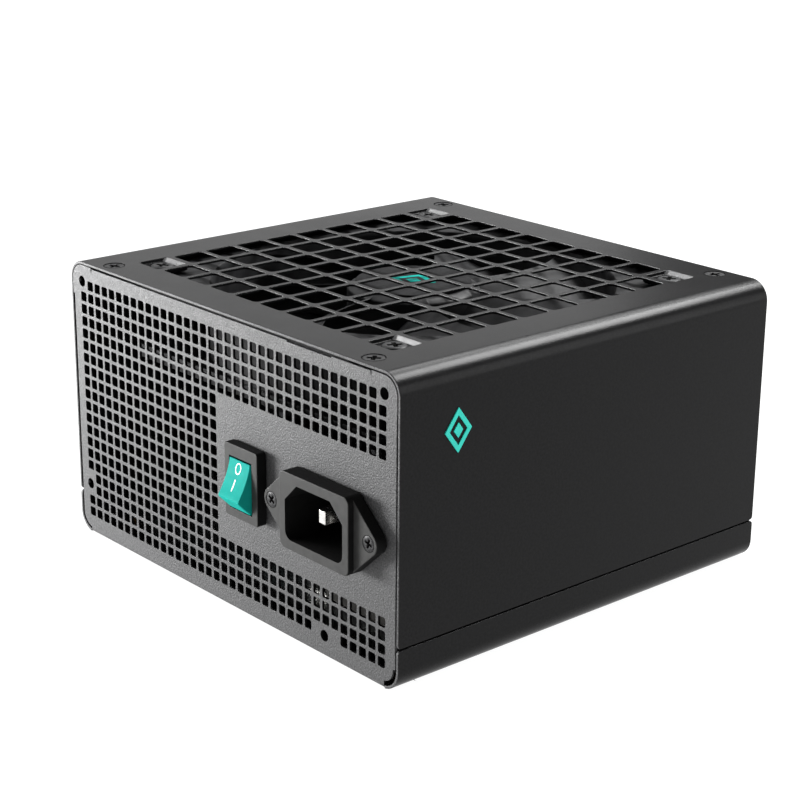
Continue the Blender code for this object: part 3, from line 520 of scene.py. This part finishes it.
def make_finishes():
    """Every finish, by the record's slot."""
    return {
        "cover_paint": cover_paint(),
        "panel_paint": panel_paint(),
        "screw_steel": black_zinc(),
        "black_plastic": moulded("fan_plastic", (0.02, 0.02, 0.021), 0.5, specular=0.12),
        "grey_plastic": moulded("socket_plastic", (0.041, 0.041, 0.04), 0.5, specular=0.15),
        "rocker_teal": moulded("rocker_plastic", TEAL, 0.55, contrast=0.05, specular=0.03),
        "mark_teal": moulded("mark_ink", MARK_TEAL, 0.5, contrast=0.05, specular=0.2),
        # painted highlight: a paler, glossier finish for the grille's forward-looking edges
        "painted_glint": moulded("grille_edge_painted_glint", (0.2, 0.2, 0.203), 0.3, 0.5, 0.003, specular=0.65),
        # painted shade: near-black plastic laid on faces in shadow, in screw slots and on the mouldings' sides and
        # set-back faces
        "painted_shade_plastic": moulded("shadowed_plastic", (0.008, 0.008, 0.008), 0.6, specular=0.08),
        # painted highlight: a lighter colour, with lower roughness, for the hub's shoulder and rim
        "painted_rim_highlight": moulded("rim_painted_highlight", (0.04, 0.04, 0.041), 0.35, contrast=0.05, specular=0.08),
        "plated_metal": metal("nickel_plate", (0.74, 0.73, 0.7), 0.2, (0.15, 1, 1)),
        "brass": metal("brass", (0.68, 0.47, 0.17), 0.3, (1, 1, 0.2)),
        "black_anodised": metal("black_anodised", (0.03, 0.03, 0.032), 0.42, (1, 1, 0.06), 0.004),
        "board_black": solder_mask(),
        "insulating_film": film(),
        "copper_wire": enamelled_copper(),
        "dark_tape": moulded("film_capacitor_case", (0.03, 0.028, 0.024), 0.4),
        "core_tape": core_tape(),
        "sleeve_black": moulded("shrink_sleeve", (0.018, 0.018, 0.022), 0.24, 3.0, 0.02),
        "magnet_grey": ferrite(),
        "label_black": moulded("label_film", (0.009, 0.009, 0.01), 0.5, 0.8, 0.003, specular=0.1),
    }


# ---------------------------------------------------------------- sheet metal

def bent_sheet(name, path):
    """A sheet bent along a section path (x, z), with its four end corners rounded."""
    bm = bmesh.new()
    near = [bm.verts.new((x * MM, FRONT * MM, z * MM)) for x, z in path]
    edges = [bm.edges.new(pair) for pair in zip(near, near[1:])]
    drawn = bmesh.ops.extrude_edge_only(bm, edges=edges)["geom"]
    far = [item for item in drawn if isinstance(item, bmesh.types.BMVert)]
    bmesh.ops.translate(bm, verts=far, vec=(0, (BACK - FRONT) * MM, 0))
    ends = [vert for vert in bm.verts if len(vert.link_edges) == 2]
    bmesh.ops.bevel(bm, geom=ends, offset=LIP_ROUND * MM, segments=4, profile=0.5,
                    affect="VERTICES", offset_type="OFFSET")
    sheet = from_bmesh(name, bm)
    solidify = sheet.modifiers.new("sheet", "SOLIDIFY")
    solidify.thickness = SHEET * MM
    solidify.offset = -1.0
    return settle(sheet)


def cut_end(middle, normal):
    """Whether a face is on the cut end of a sheet, at the front or the back."""
    return abs(normal.y) > 0.5 and not FRONT + EDGE_ZONE < middle.y < BACK - EDGE_ZONE


def cell_edge(middle, normal):
    """Whether a face is a rounded edge on the grille that looks forwards, which gets a paler, glossier finish as a
    painted highlight.
    """
    on_top = middle.z > HEIGHT - POCKET_DEPTH - SHEET / 2
    on_grille = on_top and max(abs(middle.x), abs(middle.y)) < FAN_HALF
    return on_grille and normal.y < -0.3 and 0.2 < normal.z < 0.97


def cover():
    """Top and sides: smooth bends, round-cornered grille cells, fan pockets and countersunk screw seats."""
    shoulder, low = HEIGHT - CORNER, COVER_LOW.z
    path = [(-SIDE, low)] + arc((CORNER - SIDE, shoulder), CORNER, 180, 90, BEND_STEPS)
    path += arc((SIDE - CORNER, shoulder), CORNER, 90, 0, BEND_STEPS) + [(SIDE, low)]
    sheet = bent_sheet("cover_skin", path)

    pockets, floor_z = four("fan_screw"), HEIGHT - POCKET_DEPTH
    dish = POCKET + 2 * SHEET
    dishes = prisms("dishes", [rounded(at, dish, dish, DISH_ROUND) for at in pockets],
                    floor_z - SHEET, HEIGHT - SHEET / 2)
    hollows = bmesh.new()
    for at in pockets:
        loft(hollows, [stand(rounded(at, POCKET, size, POCKET_ROUND), z, "Z")
                       for size, z in ((POCKET_FLOOR, floor_z), (POCKET, HEIGHT), (POCKET, HEIGHT + 1))])
    holes = prisms("screw_holes", [circle(at, POCKET_HOLE) for at in pockets], floor_z - 2, floor_z + 0.5)

    seats, sinks = (stacks(name, four("cover_screw"), [(radius, HEIGHT - depth) for radius, depth in rings])
                    for name, rings in (("seats", COVER_SEAT), ("sinks", COVER_SINK)))

    middles = [(i - (CELL_ROWS - 1) / 2) * CELL_PITCH for i in range(CELL_ROWS)]
    last = max(middles)
    cells = [rounded((x, y), CELL, CELL, CELL_ROUND) for x in middles for y in middles
             if abs(x) < last or abs(y) < last]
    add(sheet, dishes, seats)
    cut(sheet, from_bmesh("hollows", hollows), holes, sinks, prisms("cells", cells, HEIGHT - 2, HEIGHT + 1))
    show(soften(sheet, COVER_EDGE, 3), FINISH["cover_paint"], "cover_paint", "top_cover")
    # painted highlight: the black cover's cut ends take the lighter grey panel paint
    dress(sheet, FINISH["panel_paint"], cut_end)
    # painted highlight on the grille's forward-looking edges
    dress(sheet, FINISH["painted_glint"], cell_edge)


def panel_outline():
    """Edge of the mains panel, from its lower left corner round to the right."""
    notch_wide, notch_deep = NOTCH
    left, right = TOP_GAP_X
    left_foot, right_foot = FOOT_ROUND
    points = list(zip(FOLD_X, FOOT_Z))
    points += arc((SIDE - CORNER, CORNER), right_foot, -82, 0, 8)
    points += [(SIDE - CORNER + right_foot, FOOT_TOP), (RIGHT_X, FOOT_TOP), (RIGHT_X, STEP_Z),
               (SIDE - CORNER_GAP, STEP_Z)]
    points += arc((SIDE - CORNER, HEIGHT - CORNER), CORNER - CORNER_GAP, 0, 90, 8)
    points += [(right, HEIGHT - CORNER_GAP), (right, TOP_GAP_Z - notch_deep),
               (right - notch_wide, TOP_GAP_Z - notch_deep), (right - notch_wide, TOP_GAP_Z)]
    points += [(SLOT_X[1], TOP_GAP_Z), (SLOT_X[1], SLOT_Z), (SLOT_X[0], SLOT_Z), (SLOT_X[0], TOP_GAP_Z)]
    points += [(left + notch_wide, TOP_GAP_Z), (left + notch_wide, TOP_GAP_Z - notch_deep),
               (left, TOP_GAP_Z - notch_deep), (left, FLUSH_TOP)]
    points += arc((CORNER - SIDE, HEIGHT - CORNER), CORNER - FLUSH_GAP, 90, 180, 8)
    points += [(-FLUSH_X, STEP_Z), (LEFT_X, STEP_Z)]
    points += arc((CORNER - SIDE, CORNER), left_foot, 180, 262, 8)
    return points


def hole_middles():
    """Middles of the square holes."""
    for first_row, last_row, runs in HOLE_BANDS:
        for row in range(first_row, last_row + 1):
            for first, last in runs:
                for column in range(first, last + 1):
                    yield (FIRST_HOLE[0] + HOLE_PITCH * column, FIRST_HOLE[1] - HOLE_PITCH * row)


def flanges():
    """Inner flanges of the tray, which stand behind the seam on both sides."""
    (low, high), (inner, outer), root, step = FLANGE_Z, FLANGE_X, SIDE - SHEET + OVERLAP, TRAY_TOP - 0.3
    outline = [(inner, low), (root, low), (root, step), (outer, step), (outer, high), (inner, high)]
    return [prisms("flange", [[(side * x, z) for x, z in outline]], -FLANGE_END, FLANGE_END, "Y")
            for side in (1, -1)]


def on_tray(middle, normal):
    """Whether a face is on the tray's floor or sides, or on a hole's wall, and so gets the near-black cover paint
    as painted shade on this one grey sheet.
    """
    if cut_end(middle, normal):
        return False
    on_panel = middle.y < FRONT + SHEET + OVERLAP and abs(middle.x) < SIDE - SHEET - OVERLAP
    in_hole = abs(normal.y) < 0.4 and abs(middle.x) < FOLD_X[1] + 1 and 3 < middle.z < TOP_GAP_Z - 3
    return in_hole or not on_panel


def tray_and_panel():
    """The tray with the mains panel folded up from its floor, as one sheet."""
    path = [(SIDE, TRAY_TOP)] + arc((SIDE - CORNER, CORNER), CORNER, 0, -90, BEND_STEPS)
    path += arc((CORNER - SIDE, CORNER), CORNER, -90, -180, BEND_STEPS) + [(-SIDE, TRAY_TOP)]
    sheet = bent_sheet("tray_and_panel_skin", path)
    outer, inner, back = FRONT, FRONT + SHEET, FRONT + FOLD_REACH
    cut(sheet, box("fold_relief", (FOLD_X[0] - FOLD_RELIEF, FRONT - 1, -1),
                   (FOLD_X[1] + FOLD_RELIEF, back - 1, 1)))

    inside = FOLD_ROUND + OVERLAP
    fold = [(back, 0), *arc((outer + FOLD_ROUND, FOLD_ROUND), FOLD_ROUND, 270, 180, 6), (outer, FOLD_TOP),
            (inner, FOLD_TOP), *arc((outer + inside, inside), inside - SHEET, 180, 270, 2), (back, SHEET)]
    panel = prisms("panel", [panel_outline()], outer, inner, "Y")
    tabs = [box("tab", (x - TAB_HALF, FRONT + SHEET / 2, TAB_Z[0]),
                (x + TAB_HALF, FRONT + TAB_REACH, TAB_Z[1])) for x in TAB_X]
    add(panel, prisms("fold", [fold], *FOLD_X, "X"), *tabs)
    add(sheet, panel, *flanges())

    square = [rounded(at, HOLE, HOLE, HOLE_ROUND, 3) for at in hole_middles()]
    round_holes = [circle(at, CASE_HOLE) for at in CASE_SCREW_HOLES]
    windows = [rounded((INLET.x, INLET.z), *INLET_WINDOW), rounded((SWITCH.x, SWITCH.z), *SWITCH_WINDOW)]
    cut(sheet, prisms("perforation", square + round_holes + windows, outer - 1, inner + 1, "Y"))
    cut(sheet, prisms("floor_holes", [circle(at, BOARD_HOLE) for at in four("board_screw")], -1, 2))
    show(soften(sheet), FINISH["panel_paint"], "panel_paint", "base_tray", "rear_panel")
    # painted shade: the tray's sides and floor and the holes' walls of this one grey sheet take the near-black
    # cover paint; its cut ends stay grey as a painted highlight
    dress(sheet, FINISH["cover_paint"], on_tray)


def far_panel():
    """Cable end: the round-cornered cable window and the air slots."""
    outer, inner = BACK, BACK - SHEET
    inset = 2 * (SHEET + FAR_GAP)
    outline = rounded((0.0, HEIGHT / 2), 2 * SIDE - inset, HEIGHT - inset, FAR_ROUND, 8)
    panel = prisms("far_panel_skin", [outline], inner, outer, "Y")
    exit_at = centre("cable_grommet")
    openings = [rounded((exit_at.x, exit_at.z), *CABLE_WINDOW, 6)]
    openings += [rounded((x, AIR_SLOTS_Z), *AIR_SLOT, 5) for x in AIR_SLOTS_X]
    cut(panel, prisms("openings", openings, inner - 1, outer + 1, "Y"))
    show(soften(panel), FINISH["panel_paint"], "panel_paint", "front_panel")


def grommet():
    """Snap-in bushing round the cables, with a full round on its flange."""
    low, high = span("cable_grommet")
    at = ((low.x + high.x) / 2, (low.z + high.z) / 2)
    flange = prisms("grommet_skin", [rounded(at, *BUSHING_FLANGE, 8)], BACK + 0.3, high.y, "Y")
    neck = prisms("neck", [rounded(at, *BUSHING_NECK, 8)], low.y, BACK + 1, "Y")
    hollow = prisms("hollow", [rounded(at, *BUSHING_HOLE, 8)], low.y - 1, high.y + 1, "Y")
    cut(add(flange, neck), hollow)
    show(soften(flange, 0.6, 4), FINISH["black_plastic"], "black_plastic", "cable_grommet")


# ---------------------------------------------------------------- screws

def cross(arm, width, scale):
    """Outline of a cross slot."""
    long, thin = arm / 2 * scale, width / 2 * scale
    return [(long, -thin), (long, thin), (thin, thin), (thin, long), (-thin, long), (-thin, thin),
            (-long, thin), (-long, -thin), (-thin, -thin), (-thin, -long), (thin, -long), (thin, -thin)]


def screw(name, head, length, arm, width, depth):
    """A screw on the vertical through the origin, its head's top at z 0, with a tapered cross slot."""
    shank, seat = head[-1]
    profile = [(0.0, head[0][1]), *head, (shank, seat - length), (0.0, seat - length)]
    body = turned(name, profile, 40)
    slot = bmesh.new()
    loft(slot, [stand(cross(arm, width, scale), z, "Z")
                for scale, z in ((0.35, -depth), (1.0, 0.02), (1.0, 1.0))])
    return cut(body, from_bmesh("slot", slot))


def fit_screw(node, kind, top, turn, inwards, edge=0.06):
    """Stands a screw in for a CAD one, its head's top at a place, and paints shade on the walls of its slot with
    near-black plastic.
    """
    arm = kind[2]
    made = move(screw(node + "_skin", *kind), top, turn)
    show(soften(made, edge), FINISH["screw_steel"], "screw_steel", node)

    def in_slot(at, normal):
        offset = at - Vector(top)
        depth = offset.dot(Vector(inwards))
        return depth > 0.05 and (offset - depth * Vector(inwards)).length < arm / 2 + 0.05
    # painted shade: the slot's walls are near-black
    dress(made, FINISH["painted_shade_plastic"], in_slot)


def housing_screws():
    """Countersunk cover screws, flat fan screws and the inlet's countersunk screws."""
    for i in range(1, 5):
        for kind, shape, top, turn in (("cover_screw", COVER_SCREW, COVER_SCREW_TOP, 20),
                                       ("fan_screw", FAN_SCREW, FAN_SCREW_TOP, 31)):
            node = "%s_%d" % (kind, i)
            fit_screw(node, shape, (*centre(node).xy, top), Matrix.Rotation(math.radians(turn * i), 4, "Z"),
                      (0, 0, -1))
    for node, turn in (("inlet_screw_1", 55), ("inlet_screw_2", 75)):
        at = centre(node)
        forwards = Matrix.Rotation(math.pi / 2, 4, "X") @ Matrix.Rotation(math.radians(turn), 4, "Z")
        fit_screw(node, INLET_SCREW, (at.x, span(node)[0].y, at.z), forwards, (0, 1, 0), 0.05)


# ---------------------------------------------------------------- fan

def fan_frame():
    """Frame with two flanges round a duct, and the base disc on its four struts."""
    low, high = FAN_LOW, FAN_HIGH
    wall, (flare, flare_depth) = FAN_BORE + DUCT_WALL, DUCT_FLARE
    square = rounded((0, 0), 2 * FAN_HALF, 2 * FAN_HALF, FAN_ROUND, 8)
    body = prisms("fan_frame_skin", [square], low, high)
    waist = prisms("waist", [rounded((0, 0), 140, 140, 5)], low + FAN_FLANGE, high - FAN_FLANGE)
    cut(waist, disc("wall", wall, low, high, 96))
    cut(body, turned("duct", [(0, low - 1), (FAN_BORE, low - 1), (FAN_BORE, high - flare_depth),
                              (FAN_BORE + flare, high), (FAN_BORE + flare, high + 1), (0, high + 1)], 96),
        waist, prisms("holes", [circle(at, 2.3) for at in four("fan_screw")], low - 1, high + 1))
    base = disc("base", BASE_RADIUS, low, low + BASE_THICK)
    bearing_bore, bearing_tube = TUBE_RADII
    tube = disc("tube", bearing_tube, low + 1, high - 6, 32)
    struts = [box("strut", (BASE_RADIUS - 1, -STRUT_HALF, low), (wall - 0.5, STRUT_HALF, low + BASE_THICK))
              for _ in range(4)]
    for quarter, strut in enumerate(struts):
        move(strut, turn=Matrix.Rotation(quarter * math.pi / 2, 4, "Z"))
    add(body, base, tube, *struts)
    cut(body, disc("bore", bearing_bore, low - 1, high, 32))
    show(soften(body, 0.25), FINISH["black_plastic"], "black_plastic", "fan_frame")


def blade(number):
    """A screw-shaped blade with an aerofoil section, swept forwards towards its tip."""
    low, high = BLADE_Z
    root, covered, sweep = HUB_RADIUS - 0.8, math.radians(BLADE_ANGLE), math.radians(BLADE_SWEEP)
    edge, swell, root_scale, taper, step = 0.25, 0.85, 1.15, 0.35, 0.01

    def middle(out, chord):
        """A point of the blade's middle surface, from root to tip and from edge to edge."""
        radius = root + (BLADE_TIP - root) * out
        angle = 2 * math.pi * number / BLADES + sweep * out * out + covered * chord
        return Vector((radius * math.cos(angle), radius * math.sin(angle),
                       (low + high) / 2 + (high - low) * chord))

    def section(out):
        """Closed outline round the blade at one radius: up one side and back down the other."""
        sides = ([], [])
        for i in range(BLADE_STEPS + 1):
            chord = i / BLADE_STEPS - 0.5
            at = middle(out, chord)
            along = middle(out, chord + step) - middle(out, chord - step)
            across = middle(min(out + step, 1 + step), chord) - middle(out - step, chord)
            normal = along.cross(across).normalized()
            thick = (edge + swell * math.sqrt(max(0.0, 1 - (2 * chord) ** 2))) * (root_scale - taper * out)
            sides[0].append(at + normal * thick / 2)
            sides[1].append(at - normal * thick / 2)
        return sides[0] + sides[1][::-1]

    bm = bmesh.new()
    loft(bm, [section(i / BLADE_STEPS) for i in range(BLADE_STEPS + 1)])
    return from_bmesh("blade", bm)


def rotor():
    """Hub cup with a sloping shoulder and a rounded rim, and its blades."""
    bore, roof = HUB_RADIUS - HUB_WALL, HUB_TOP - HUB_WALL
    rim = arc((HUB_RADIUS - HUB_ROUND, HUB_TOP - HUB_DROP), HUB_ROUND, 55, 0, 4)
    profile = [(0, HUB_TOP), (HUB_RADIUS - HUB_SHOULDER, HUB_TOP), *rim,
               (HUB_RADIUS, HUB_SKIRT), (bore, HUB_SKIRT), (bore, roof), (0, roof)]
    hub = turned("fan_rotor_skin", profile, 84)
    add(hub, *[blade(number) for number in range(BLADES)])
    show(soften(hub, 0.0), FINISH["black_plastic"], "black_plastic", "fan_rotor", body="rotor")

    def on_rim(at, normal):
        """Whether a face is on the shoulder or the rim, which gets a lighter colour as a painted highlight and a
        lower roughness.
        """
        near_edge = HUB_RADIUS - HUB_SHOULDER - 0.1 < at.xy.length < HUB_RADIUS + 0.1
        return near_edge and at.z > HUB_TOP - HUB_DROP - 0.05 and 0.3 < normal.z < 0.99
    # painted highlight on the hub's shoulder and rim
    dress(hub, FINISH["painted_rim_highlight"], on_rim)


def emblem(name, width, height, thick, opening=0.66, core=0.34):
    """A plain mark of two nested lozenges, flat in XY and rising from z 0."""
    def lozenge(scale):
        across, up = width / 2 * scale, height / 2 * scale
        return [(across, 0), (0, up), (-across, 0), (0, -up)]
    ring = cut(prisms(name, [lozenge(1.0)], 0.0, thick), prisms("opening", [lozenge(opening)], -1, thick + 1))
    return add(ring, prisms("core", [lozenge(core)], 0.0, thick))


def hub_label():
    """Printed disc on the hub, with its mark."""
    low, high = span("fan_hub_label")
    label = disc("hub_label_skin", high.x, low.z, high.z, 84)
    show(soften(label, 0.04), FINISH["label_black"], "label_black", "fan_hub_label", body="rotor")
    mark = move(emblem("hub_mark", 14.0, 14.0, 0.06), (0, 0, high.z + 0.01), Matrix.Rotation(0.5, 4, "Z"))
    show(soften(mark, 0.0), FINISH["rocker_teal"], "rocker_teal", body="rotor")


# ---------------------------------------------------------------- mains inlet

def ear_outline(ear=3.3, corner=2.0, half_width=14.25, half_height=10.8, ear_x=20.0):
    """Flange outline: a rounded rectangle drawn out to a round ear around each screw."""
    reach = Vector((half_width - corner - ear_x, half_height - corner))
    swing = math.degrees(math.atan2(reach.y, reach.x) - math.acos((ear - corner) / reach.length))
    across, up = half_width - corner, half_height - corner
    right = arc((ear_x, 0), ear, -swing, swing, 12) + arc((across, up), corner, swing, 90, 5)
    left = [(-x, -z) for x, z in arc((ear_x, 0), ear, -swing, swing, 12)]
    top_left = [(-x, z) for x, z in arc((across, up), corner, 90, swing, 5)]
    bottom_left = [(-x, -z) for x, z in arc((across, up), corner, swing, 90, 5)]
    bottom_right = [(x, -z) for x, z in arc((across, up), corner, 90, swing, 5)]
    return [(INLET.x + x, INLET.z + z) for x, z in right + top_left + left + bottom_left + bottom_right]


def socket_outline(width=23.8, height=16.0, chamfer=5.0, radius=2.5):
    """Socket opening: chamfered at the earth side above, rounded below."""
    right, left = INLET.x + width / 2, INLET.x - width / 2
    top, bottom = INLET.z + height / 2, INLET.z - height / 2
    points = [(right, top - chamfer), (right - chamfer, top), (left + chamfer, top), (left, top - chamfer)]
    points += arc((left + radius, bottom + radius), radius, 180, 270, 6)
    return points + arc((right - radius, bottom + radius), radius, 270, 360, 6)


def set_back(front):
    """A test for the faces of a moulding that lie behind its front, or don't look forwards: they get near-black
    plastic as painted shade.
    """
    return lambda at, normal: normal.y > -0.55 or at.y > front + 0.4


def inlet():
    """Moulded inlet with soft edges, and its three pins."""
    rim_y, back = INLET_LOW.y, INLET_HIGH.y
    pins = ["inlet_pin_" + use for use in ("earth", "line", "neutral")]
    middle = (INLET.x, INLET.z)
    shell = prisms("inlet_skin", [ear_outline()], INLET_EAR_Y, FRONT - 0.3, "Y")
    rim = prisms("rim", [rounded(middle, *INLET_RIM)], rim_y, FRONT - 2, "Y")
    body = prisms("body", [rounded(middle, *INLET_BODY)], FRONT - 1, back, "Y")
    screws = [(at.x, at.z) for at in (centre("inlet_screw_1"), centre("inlet_screw_2"))]
    for piece in (shell, rim, body):
        bevel(piece, 0.28, 3)
    add(shell, rim, body)
    socket = bevel(prisms("socket", [socket_outline()], rim_y - 1, back - 5, "Y"), 0.25, 3)
    cut(shell, socket, *clearance(*pins), stacks("sinks", screws, INLET_SINK, "Y"))
    show(soften(shell, 0.0), FINISH["grey_plastic"], "grey_plastic", "inlet_shell")
    # painted shade: the inlet's sides, top and set-back faces are near-black
    dress(shell, FINISH["painted_shade_plastic"], set_back(INLET_EAR_Y))
    for node in pins:
        pin(node)


def pin(node, nose=0.4, narrow=0.25, half_height=2.0):
    """One flat contact, drawn in towards its nose."""
    low, high = span(node)
    (x, _, z), half = (low + high) / 2, (high.x - low.x) / 2
    signs = ((1, 1), (-1, 1), (-1, -1), (1, -1))
    bm = bmesh.new()
    loft(bm, [stand([(x + sx * wide, z + sz * tall) for sx, sz in signs], y, "Y")
              for wide, tall, y in ((half - narrow, half_height - narrow, low.y),
                                    (half, half_height, low.y + nose), (half, half_height, high.y))])
    show(soften(from_bmesh(node + "_skin", bm), 0.15), FINISH["plated_metal"], "plated_metal", node)


# ---------------------------------------------------------------- rocker switch

def face_y(z):
    """How far out the rocker's hollow face lies at a height."""
    (top_y, top_z), (nose_y, nose_z) = ROCKER_TOP, ROCKER_NOSE
    t = (top_z - z) / (top_z - nose_z)
    return top_y + (nose_y - top_y) * t + 4 * ROCKER_SAG * t * (1 - t)


def across_rocker(name, outline, reach):
    """A solid along X that reaches past the rocker's sides by this much."""
    half = ROCKER_WIDTH / 2 + reach
    return prisms(name, [outline], HINGE.x - half, HINGE.x + half, "X")


def switch():
    """Bezel with its curved well, and the body behind the panel."""
    front, middle, hinge = SWITCH_LOW.y, (SWITCH.x, SWITCH.z), (HINGE.y, HINGE.z)
    body = prisms("switch_skin", [rounded(middle, *SWITCH_RIM)], front, FRONT - 0.3, "Y")
    rear = prisms("rear", [rounded(middle, *SWITCH_BODY)], FRONT - 1, SWITCH_HIGH.y, "Y")
    well = across_rocker("well", circle(hinge, ROCKER_WELL, 72), 0.3)
    cut(add(body, rear), well, *clearance("switch_terminal_1", "switch_terminal_2"))
    show(soften(body, 0.22, 3), FINISH["grey_plastic"], "grey_plastic", "switch_body")
    # painted shade: the bezel's sides and set-back faces are near-black
    dress(body, FINISH["painted_shade_plastic"], set_back(front))


def rocker():
    """Hollow-faced rocker with O and I printed on its face."""
    top_z, nose_z = ROCKER_TOP[1], ROCKER_NOSE[1]
    heights = [top_z + (nose_z - top_z) * i / ROCKER_STEPS for i in range(ROCKER_STEPS + 1)]
    body = across_rocker("rocker_skin", [(face_y(z), z) for z in heights] + ROCKER_BACK, 0.0)
    pivot = across_rocker("pivot", circle((HINGE.y, HINGE.z), PIVOT_RADIUS), PIVOT_REACH)
    show(soften(add(body, pivot), 0.3, 3, 30), FINISH["rocker_teal"], "rocker_teal", "switch_rocker",
         body="rocker")

    white = moulded("marking_white", (0.86, 0.87, 0.86), 0.45, contrast=0.04)
    turns = [2 * math.pi * i / MARK_O_STEPS for i in range(MARK_O_STEPS + 1)]
    marking("rocker_mark_off", [[(HINGE.x + across * math.cos(t), MARK_O_Z + up * math.sin(t)) for t in turns]
                                for across, up in MARK_O], white)
    levels = [MARK_I_Z - MARK_I_LENGTH * i / MARK_I_STEPS for i in range(MARK_I_STEPS + 1)]
    marking("rocker_mark_on", [[(HINGE.x + side, z) for z in levels] for side in (-MARK_I_HALF, MARK_I_HALF)],
            white)


def marking(name, edges, finish, lift=0.02, thick=0.05):
    """A strip between two rows of (x, z) points, laid on the rocker's face."""
    bm = bmesh.new()
    rows = [[bm.verts.new(Vector((x, face_y(z) - lift, z)) * MM) for x, z in edge] for edge in edges]
    for i in range(len(rows[0]) - 1):
        bm.faces.new((rows[0][i], rows[0][i + 1], rows[1][i + 1], rows[1][i]))
    bmesh.ops.remove_doubles(bm, verts=bm.verts, dist=0.001 * MM)
    mark = from_bmesh(name, bm)
    solidify = mark.modifiers.new("ink", "SOLIDIFY")
    solidify.thickness, solidify.offset = thick * MM, 0.0
    show(settle(mark), finish, "rocker_teal", body="rocker")


def side_mark():
    """Raised mark on the side of the cover."""
    stand_up = Matrix(((0, 0, 1, 0), (1, 0, 0, 0), (0, 1, 0, 0), (0, 0, 0, 1)))
    mark = move(emblem("side_mark", *SIDE_MARK), SIDE_MARK_AT, stand_up)
    show(soften(mark, 0.08), FINISH["mark_teal"], "rocker_teal")


# ---------------------------------------------------------------- inside

def carried_over():
    """Gives every CAD node the finish of its slot, which the ones that stay visible are seen in."""
    slots = {part["node"]: part["material_slot"] for part in frame["record"]["subparts"]}
    for name, node in frame["nodes"].items():
        node.data.materials.clear()
        node.data.materials.append(FINISH[slots[name]])


# ---------------------------------------------------------------- stage

def floor():
    """Plain pale floor that glows nearly white, wide enough to fill low views."""
    bm = bmesh.new()
    bmesh.ops.create_grid(bm, x_segments=1, y_segments=1, size=FLOOR_SIZE)
    ground = from_bmesh("floor", bm)
    pale = Finish("floor_pale", (0.14, 0.14, 0.14), 0.7, specular=0.1)
    pale.tint(pale.noise(300, 2), (0.13, 0.13, 0.13), (0.15, 0.15, 0.15))
    pale.set("Emission Color", (1.0, 1.0, 1.0, 1.0))
    pale.set("Emission Strength", FLOOR_GLOW)
    ground.data.materials.append(pale.material)


def softbox(name, place, aim, width, height, radiance):
    """A rectangular light of even radiance, turned to face its aim."""
    light = bpy.data.lights.new(name, "AREA")
    light.shape, light.size, light.size_y = "RECTANGLE", width, height
    light.energy = radiance * math.pi * width * height
    lamp = bpy.data.objects.new(name, light)
    bpy.context.scene.collection.objects.link(lamp)
    lamp.location = place
    lamp.rotation_euler = (Vector(aim) - Vector(place)).to_track_quat("-Z", "Y").to_euler()


def studio():
    """The seven lights and a dim white world.

    The key and the wash light the mains panel from low on the left, and upper_left lights the grille's front
    edges, whose glint is also a painted highlight in their finish. The two strips behind light the top and its
    right bend, the horizon the right side, and the backdrop fills the reflections at the far left.
    """
    world = bpy.data.worlds.new("studio")
    world.use_nodes = True
    background = world.node_tree.nodes["Background"]
    background.inputs[0].default_value = (1, 1, 1, 1)
    background.inputs[1].default_value = WORLD_STRENGTH
    bpy.context.scene.world = world
    for name, settings in LIGHTS.items():
        softbox(name, *settings)


def camera():
    """Three-quarter view from the right of the mains panel and a little above."""
    data = bpy.data.cameras.new("camera")
    data.lens, data.sensor_width = LENS, SENSOR
    view = bpy.data.objects.new("camera", data)
    bpy.context.scene.collection.objects.link(view)
    azimuth, elevation, roll = (math.radians(angle) for angle in (AZIMUTH, ELEVATION, ROLL))
    ahead = Vector((-math.sin(azimuth) * math.cos(elevation), math.cos(azimuth) * math.cos(elevation),
                    -math.sin(elevation)))
    right = Vector((math.cos(azimuth), math.sin(azimuth), 0.0))
    up = right.cross(ahead)
    right, up = (right * math.cos(roll) + up * math.sin(roll), up * math.cos(roll) - right * math.sin(roll))
    turn = Matrix((right, up, -ahead)).transposed().to_4x4()
    view.matrix_world = Matrix.Translation(EYE) @ turn
    bpy.context.scene.camera = view
    bpy.context.scene.view_settings.view_transform = "Standard"


FINISH = make_finishes()
camera()
studio()
floor()
carried_over()
cover()
tray_and_panel()
far_panel()
grommet()
housing_screws()
fan_frame()
rotor()
hub_label()
inlet()
switch()
rocker()
side_mark()
